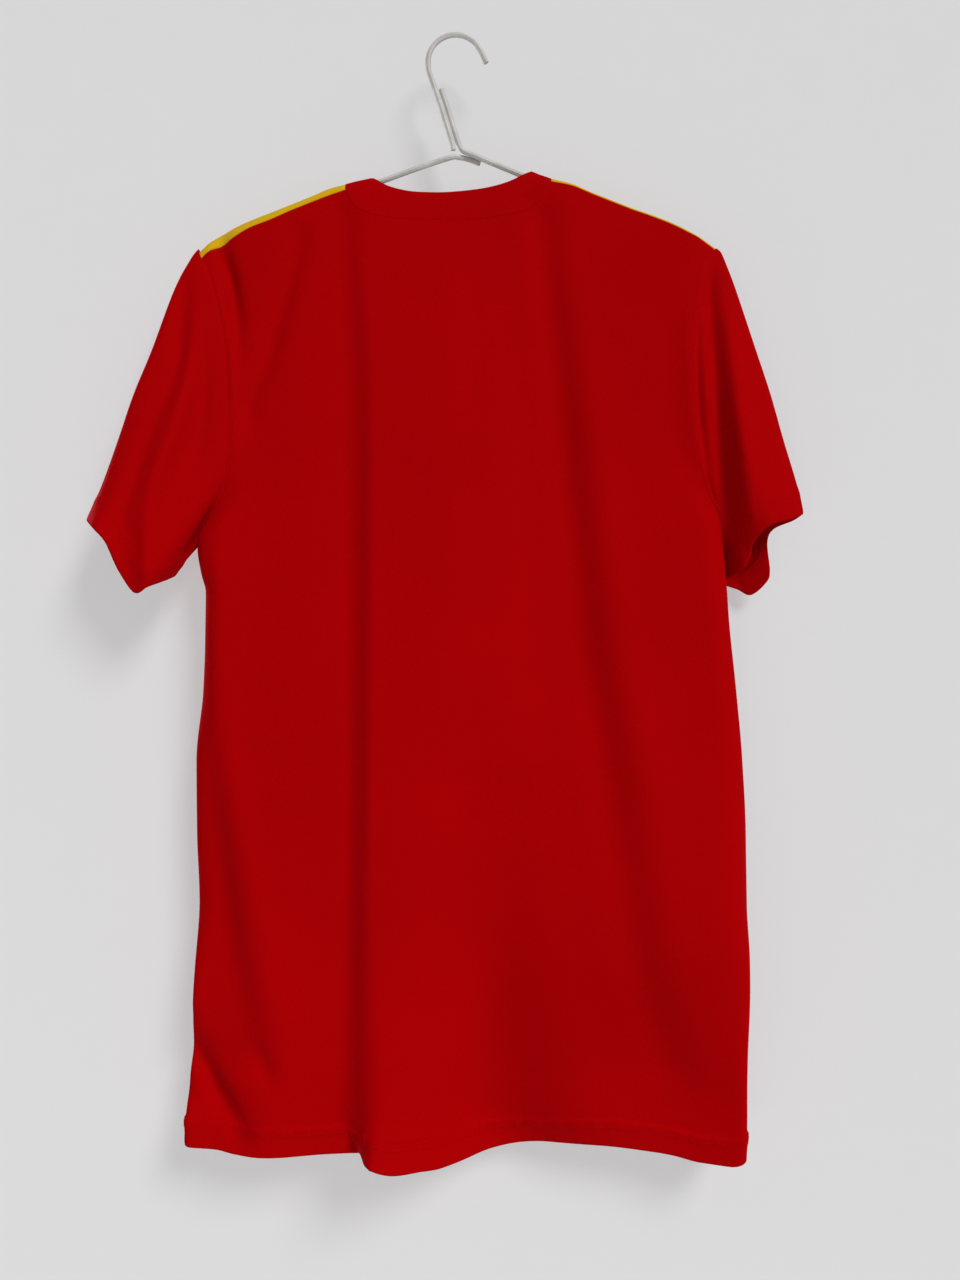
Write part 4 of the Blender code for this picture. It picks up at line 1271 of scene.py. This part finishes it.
@dataclass
class Jersey:
    """The jersey: its panels, sleeves, shoulder panels, neck band and hems."""

    palette: Palette
    trunk: Trunk = Trunk()
    band: NeckBand = NeckBand()
    hem: Hem = Hem()
    cuff: Hem = Hem(ridge=0.3, groove=0.06)
    allowance: float = 3.0
    small_allowance: float = 2.0

    def build(self) -> None:
        """Builds and dresses every piece of cloth and thread."""
        trunk = self.trunk
        panels = {
            face: trunk.grid(face, LEFT_SHOULDER, RIGHT_SHOULDER, rows)
            for face, rows in ((Face.BACK, self.band.back), (Face.FRONT, self.band.front))
        }
        tops = {face: trunk.tops(face) for face in Face}
        shoulders = {
            item.side: (item, item.grid(panels[Face.BACK].points, panels[Face.FRONT].points, tops))
            for item in (LEFT_SHOULDER, RIGHT_SHOULDER)
        }
        self.panel(Face.BACK, panels[Face.BACK], (0.552, 0.785), 0.345)
        self.panel(Face.FRONT, panels[Face.FRONT], (0.5, 0.765), 0.325)
        for side, (_, grid) in shoulders.items():
            self.shoulder(side, grid)
        self.collar(shoulders, panels, tops)
        for sleeve in (LEFT_SLEEVE, RIGHT_SLEEVE):
            self.sleeve(sleeve, shoulders[sleeve.side], panels)

    @staticmethod
    def hemmed(grid: Grid, keep: int, hem: Hem) -> tuple[Grid, list[tuple[Array, Array]]]:
        """Gives a sheet its hem.

        Args:
            grid: The sheet.
            keep: How many of its first rows stay as they are.
            hem: The hem.

        Returns:
            The hemmed sheet, and the lines that its stitches follow.
        """
        settled, distance = hem.settle(grid, keep)
        run = run_along(settled.points[-hem.edge_rows:], False)
        relief = hem.relief(distance, np.broadcast_to(run, distance.shape))
        if not grid.closed:
            relief = relief * ease((np.minimum(run, run[-1] - run) - hem.bare_end) / hem.end_fade)
        raised = settled.lifted(relief)
        normals = raised.normals()
        lines = []
        for place in hem.stitch_rows:
            row = len(distance) - 1 - hem.rows.index(place)
            line, normal = raised.points[row], normals[row]
            if grid.closed:
                line, normal = np.vstack([line, line[:1]]), np.vstack([normal, normal[:1]])
            lines.append((line, normal))
        return hem.turned(raised), lines

    @staticmethod
    def dress(obj: bpy.types.Object, material: bpy.types.Material, slot: str, *nodes: str) -> None:
        """Gives a piece its finish, hangs it on the body and hides the imported solids that it replaces."""
        obj.data.materials.append(material)
        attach(obj, BODY)
        if nodes:
            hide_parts(*nodes)
        LOG.info("%s: %d points", obj.name, len(obj.data.vertices))

    def panel(self, face: Face, grid: Grid, flat: tuple[float, float], area: float) -> None:
        """Makes the back or the front, with its hem.

        Args:
            face: Which of them.
            grid: Its points.
            flat: The width and length that it is cut from; not used.
            area: The flat area of its cut; not used.
        """
        name = face.name.lower()
        hemmed, lines = self.hemmed(grid, self.trunk.upper_rows, self.hem)
        sheet = ClothPiece(f"{name}_panel", hemmed.flanged(self.allowance, "tlr")).make()
        self.dress(sheet, self.palette.red, "red_knit", name)
        thread = StitchLine(f"{name}_hem_stitches", radius=0.18, arch=0.22).make(lines)
        self.dress(thread, self.palette.thread, "red_knit")

    def shoulder(self, side: Side, grid: Grid) -> None:
        """Makes one shoulder panel."""
        name = side.name.lower()
        piece = ClothPiece(f"{name}_shoulder_panel", grid.flanged(self.small_allowance, "tblr")).make()
        self.dress(piece, self.palette.yellow, "yellow_knit", f"shoulder_{name}")

    def collar(self, shoulders: dict, panels: dict[Face, Grid], tops: dict[Face, Array]) -> None:
        """Makes the neck band.

        Args:
            shoulders: Each side's shoulder panel and its points.
            panels: The back and the front.
            tops: The places across of each panel's columns.
        """
        ends, edges = {}, {}
        for face in Face:
            low, high = self.trunk.neck_left - EDGE_SLACK, self.trunk.neck_right + EDGE_SLACK
            inside = (tops[face] > low) & (tops[face] < high)
            edges[face] = panels[face].points[0][inside]
            for side, (item, grid) in shoulders.items():
                ends[side, face] = item.end(grid.points, -1 if side is Side.LEFT else 0, face)
        grid = self.band.grid(ends, edges).flanged(self.small_allowance, "t")
        piece = ClothPiece("neck_band", grid, self.band.thickness).make()
        self.dress(piece, self.palette.rib, "red_rib", "collar")

    def sleeve(self, sleeve: Sleeve, shoulder: tuple[Shoulder, Grid], panels: dict[Face, Grid]) -> None:
        """Makes one sleeve, with its hem.

        Args:
            sleeve: The sleeve.
            shoulder: The shoulder panel on its side, and its points.
            panels: The back and the front.
        """
        name = sleeve.side.name.lower()
        item, top = shoulder
        at = 0 if sleeve.side is Side.LEFT else -1
        rings = {
            face: sleeve.ring(self.trunk, item.end(top.points, at, face), panels[face].points)
            for face in Face
        }
        hemmed, lines = self.hemmed(sleeve.grid(rings), len(sleeve.join), self.cuff)
        piece = ClothPiece(f"{name}_sleeve", hemmed.flanged(self.allowance, "t")).make()
        self.dress(piece, self.palette.red, "red_knit", f"sleeve_{name}")
        thread = StitchLine(f"{name}_cuff_stitches", radius=0.17, arch=0.2).make(lines)
        self.dress(thread, self.palette.thread, "red_knit")


@dataclass
class Hanger:
    """The wire hanger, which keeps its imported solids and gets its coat."""

    palette: Palette
    nodes: tuple[str, str] = ("hanger_frame", "hanger_hook")

    def build(self) -> None:
        """Gives each wire its finish."""
        for name in self.nodes:
            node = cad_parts[name]
            node.data.materials.clear()
            node.data.materials.append(self.palette.coat)
            for polygon in node.data.polygons:
                polygon.use_smooth = True
            LOG.info("%s: coated", name)


@dataclass
class Studio:
    """The pale wall and floor, the soft lights and the camera."""

    eye: tuple[float, float, float] = (0.0196, -0.85, -0.4821)
    lens: float = 29.88
    sensor: float = 36.0
    wall_at: float = 0.031
    wall_top: float = 1.7
    floor_at: float = -1.3
    half_width: float = 3.0
    floor_colour: Colour = (0.8, 0.8, 0.8)
    wall_colour: Colour = (0.3, 0.297, 0.3)
    wall_glow: float = 1.4
    # The surroundings as light and as the camera sees them, and the light's strength
    lit: Colour = (0.86, 0.88, 0.9)
    seen: Colour = (0.7, 0.7, 0.71)
    strength: float = 0.26

    def build(self) -> None:
        """Makes the stage, the lights and the camera."""
        self.surfaces()
        self.lights()
        data = bpy.data.cameras.new("camera")
        data.lens, data.sensor_width, data.sensor_fit = self.lens, self.sensor, "AUTO"
        camera = linked("camera", data)
        camera.location = self.eye
        camera.rotation_euler = (math.pi / 2, 0, 0)
        bpy.context.scene.camera = camera
        bpy.context.scene.view_settings.view_transform = "Standard"
        LOG.info("studio: ready")

    def surfaces(self) -> None:
        """Makes the floor and the wall."""
        half, low, high, at = self.half_width, self.floor_at, self.wall_top, self.wall_at
        floor = [(-half, -half, low), (half, -half, low), (half, half, low), (-half, half, low)]
        wall = [(-half, at, low), (half, at, low), (half, at, high), (-half, at, high)]
        for name, corners, finish in (
            ("floor", floor, StageFinish("floor_finish", self.floor_colour)),
            ("wall", wall, StageFinish("wall_finish", self.wall_colour, self.wall_glow, True)),
        ):
            mesh = bpy.data.meshes.new(name)
            mesh.from_pydata(corners, [], [(0, 1, 2, 3)])
            obj = linked(name, mesh)
            obj.data.materials.append(finish.make())

    def lights(self) -> None:
        """Makes the soft lights and the pale surroundings."""
        for name, kind, place, aim, size, power in (
            ("key", "SUN", (1.3, -1.9, 1.45), (0.0, 0.0, -0.45), 0.35, 2.52),
            ("fill", "AREA", (-0.3, -2.1, -0.9), (0.0, 0.0, -0.6), 1.5, 4.0),
            ("rear", "AREA", (-1.7, 1.6, 0.5), (0.0, 0.0, -0.6), 0.6, 30.0),
        ):
            data = bpy.data.lights.new(name, kind)
            data.energy = power
            if kind == "SUN":
                data.angle = size
            else:
                data.size = size
            light = linked(name, data)
            light.location = place
            way = np.array(aim) - np.array(place)
            level = math.hypot(way[0], way[1])
            turn = math.atan2(way[1], way[0]) - math.pi / 2
            light.rotation_euler = (math.pi / 2 + math.atan2(way[2], level), 0, turn)
            light.visible_camera = False
        world = bpy.data.worlds.new("surroundings")
        world.use_nodes = True
        tree = world.node_tree
        lit = tree.nodes["Background"]
        fill(lit, {"Color": (*self.lit, 1), "Strength": self.strength})
        seen, mix = tree.nodes.new("ShaderNodeBackground"), tree.nodes.new("ShaderNodeMixShader")
        fill(seen, {"Color": (*self.seen, 1)})
        tree.links.new(tree.nodes.new("ShaderNodeLightPath").outputs["Is Camera Ray"], mix.inputs[0])
        tree.links.new(lit.outputs[0], mix.inputs[1])
        tree.links.new(seen.outputs[0], mix.inputs[2])
        tree.links.new(mix.outputs[0], tree.nodes["World Output"].inputs["Surface"])
        bpy.context.scene.world = world


def main() -> None:
    """Builds the studio, the hanger and the jersey in order."""
    logging.basicConfig(level=logging.INFO, format="%(message)s")
    Studio().build()
    palette = Palette()
    Hanger(palette).build()
    Jersey(palette).build()


if __name__ == "__main__":
    main()
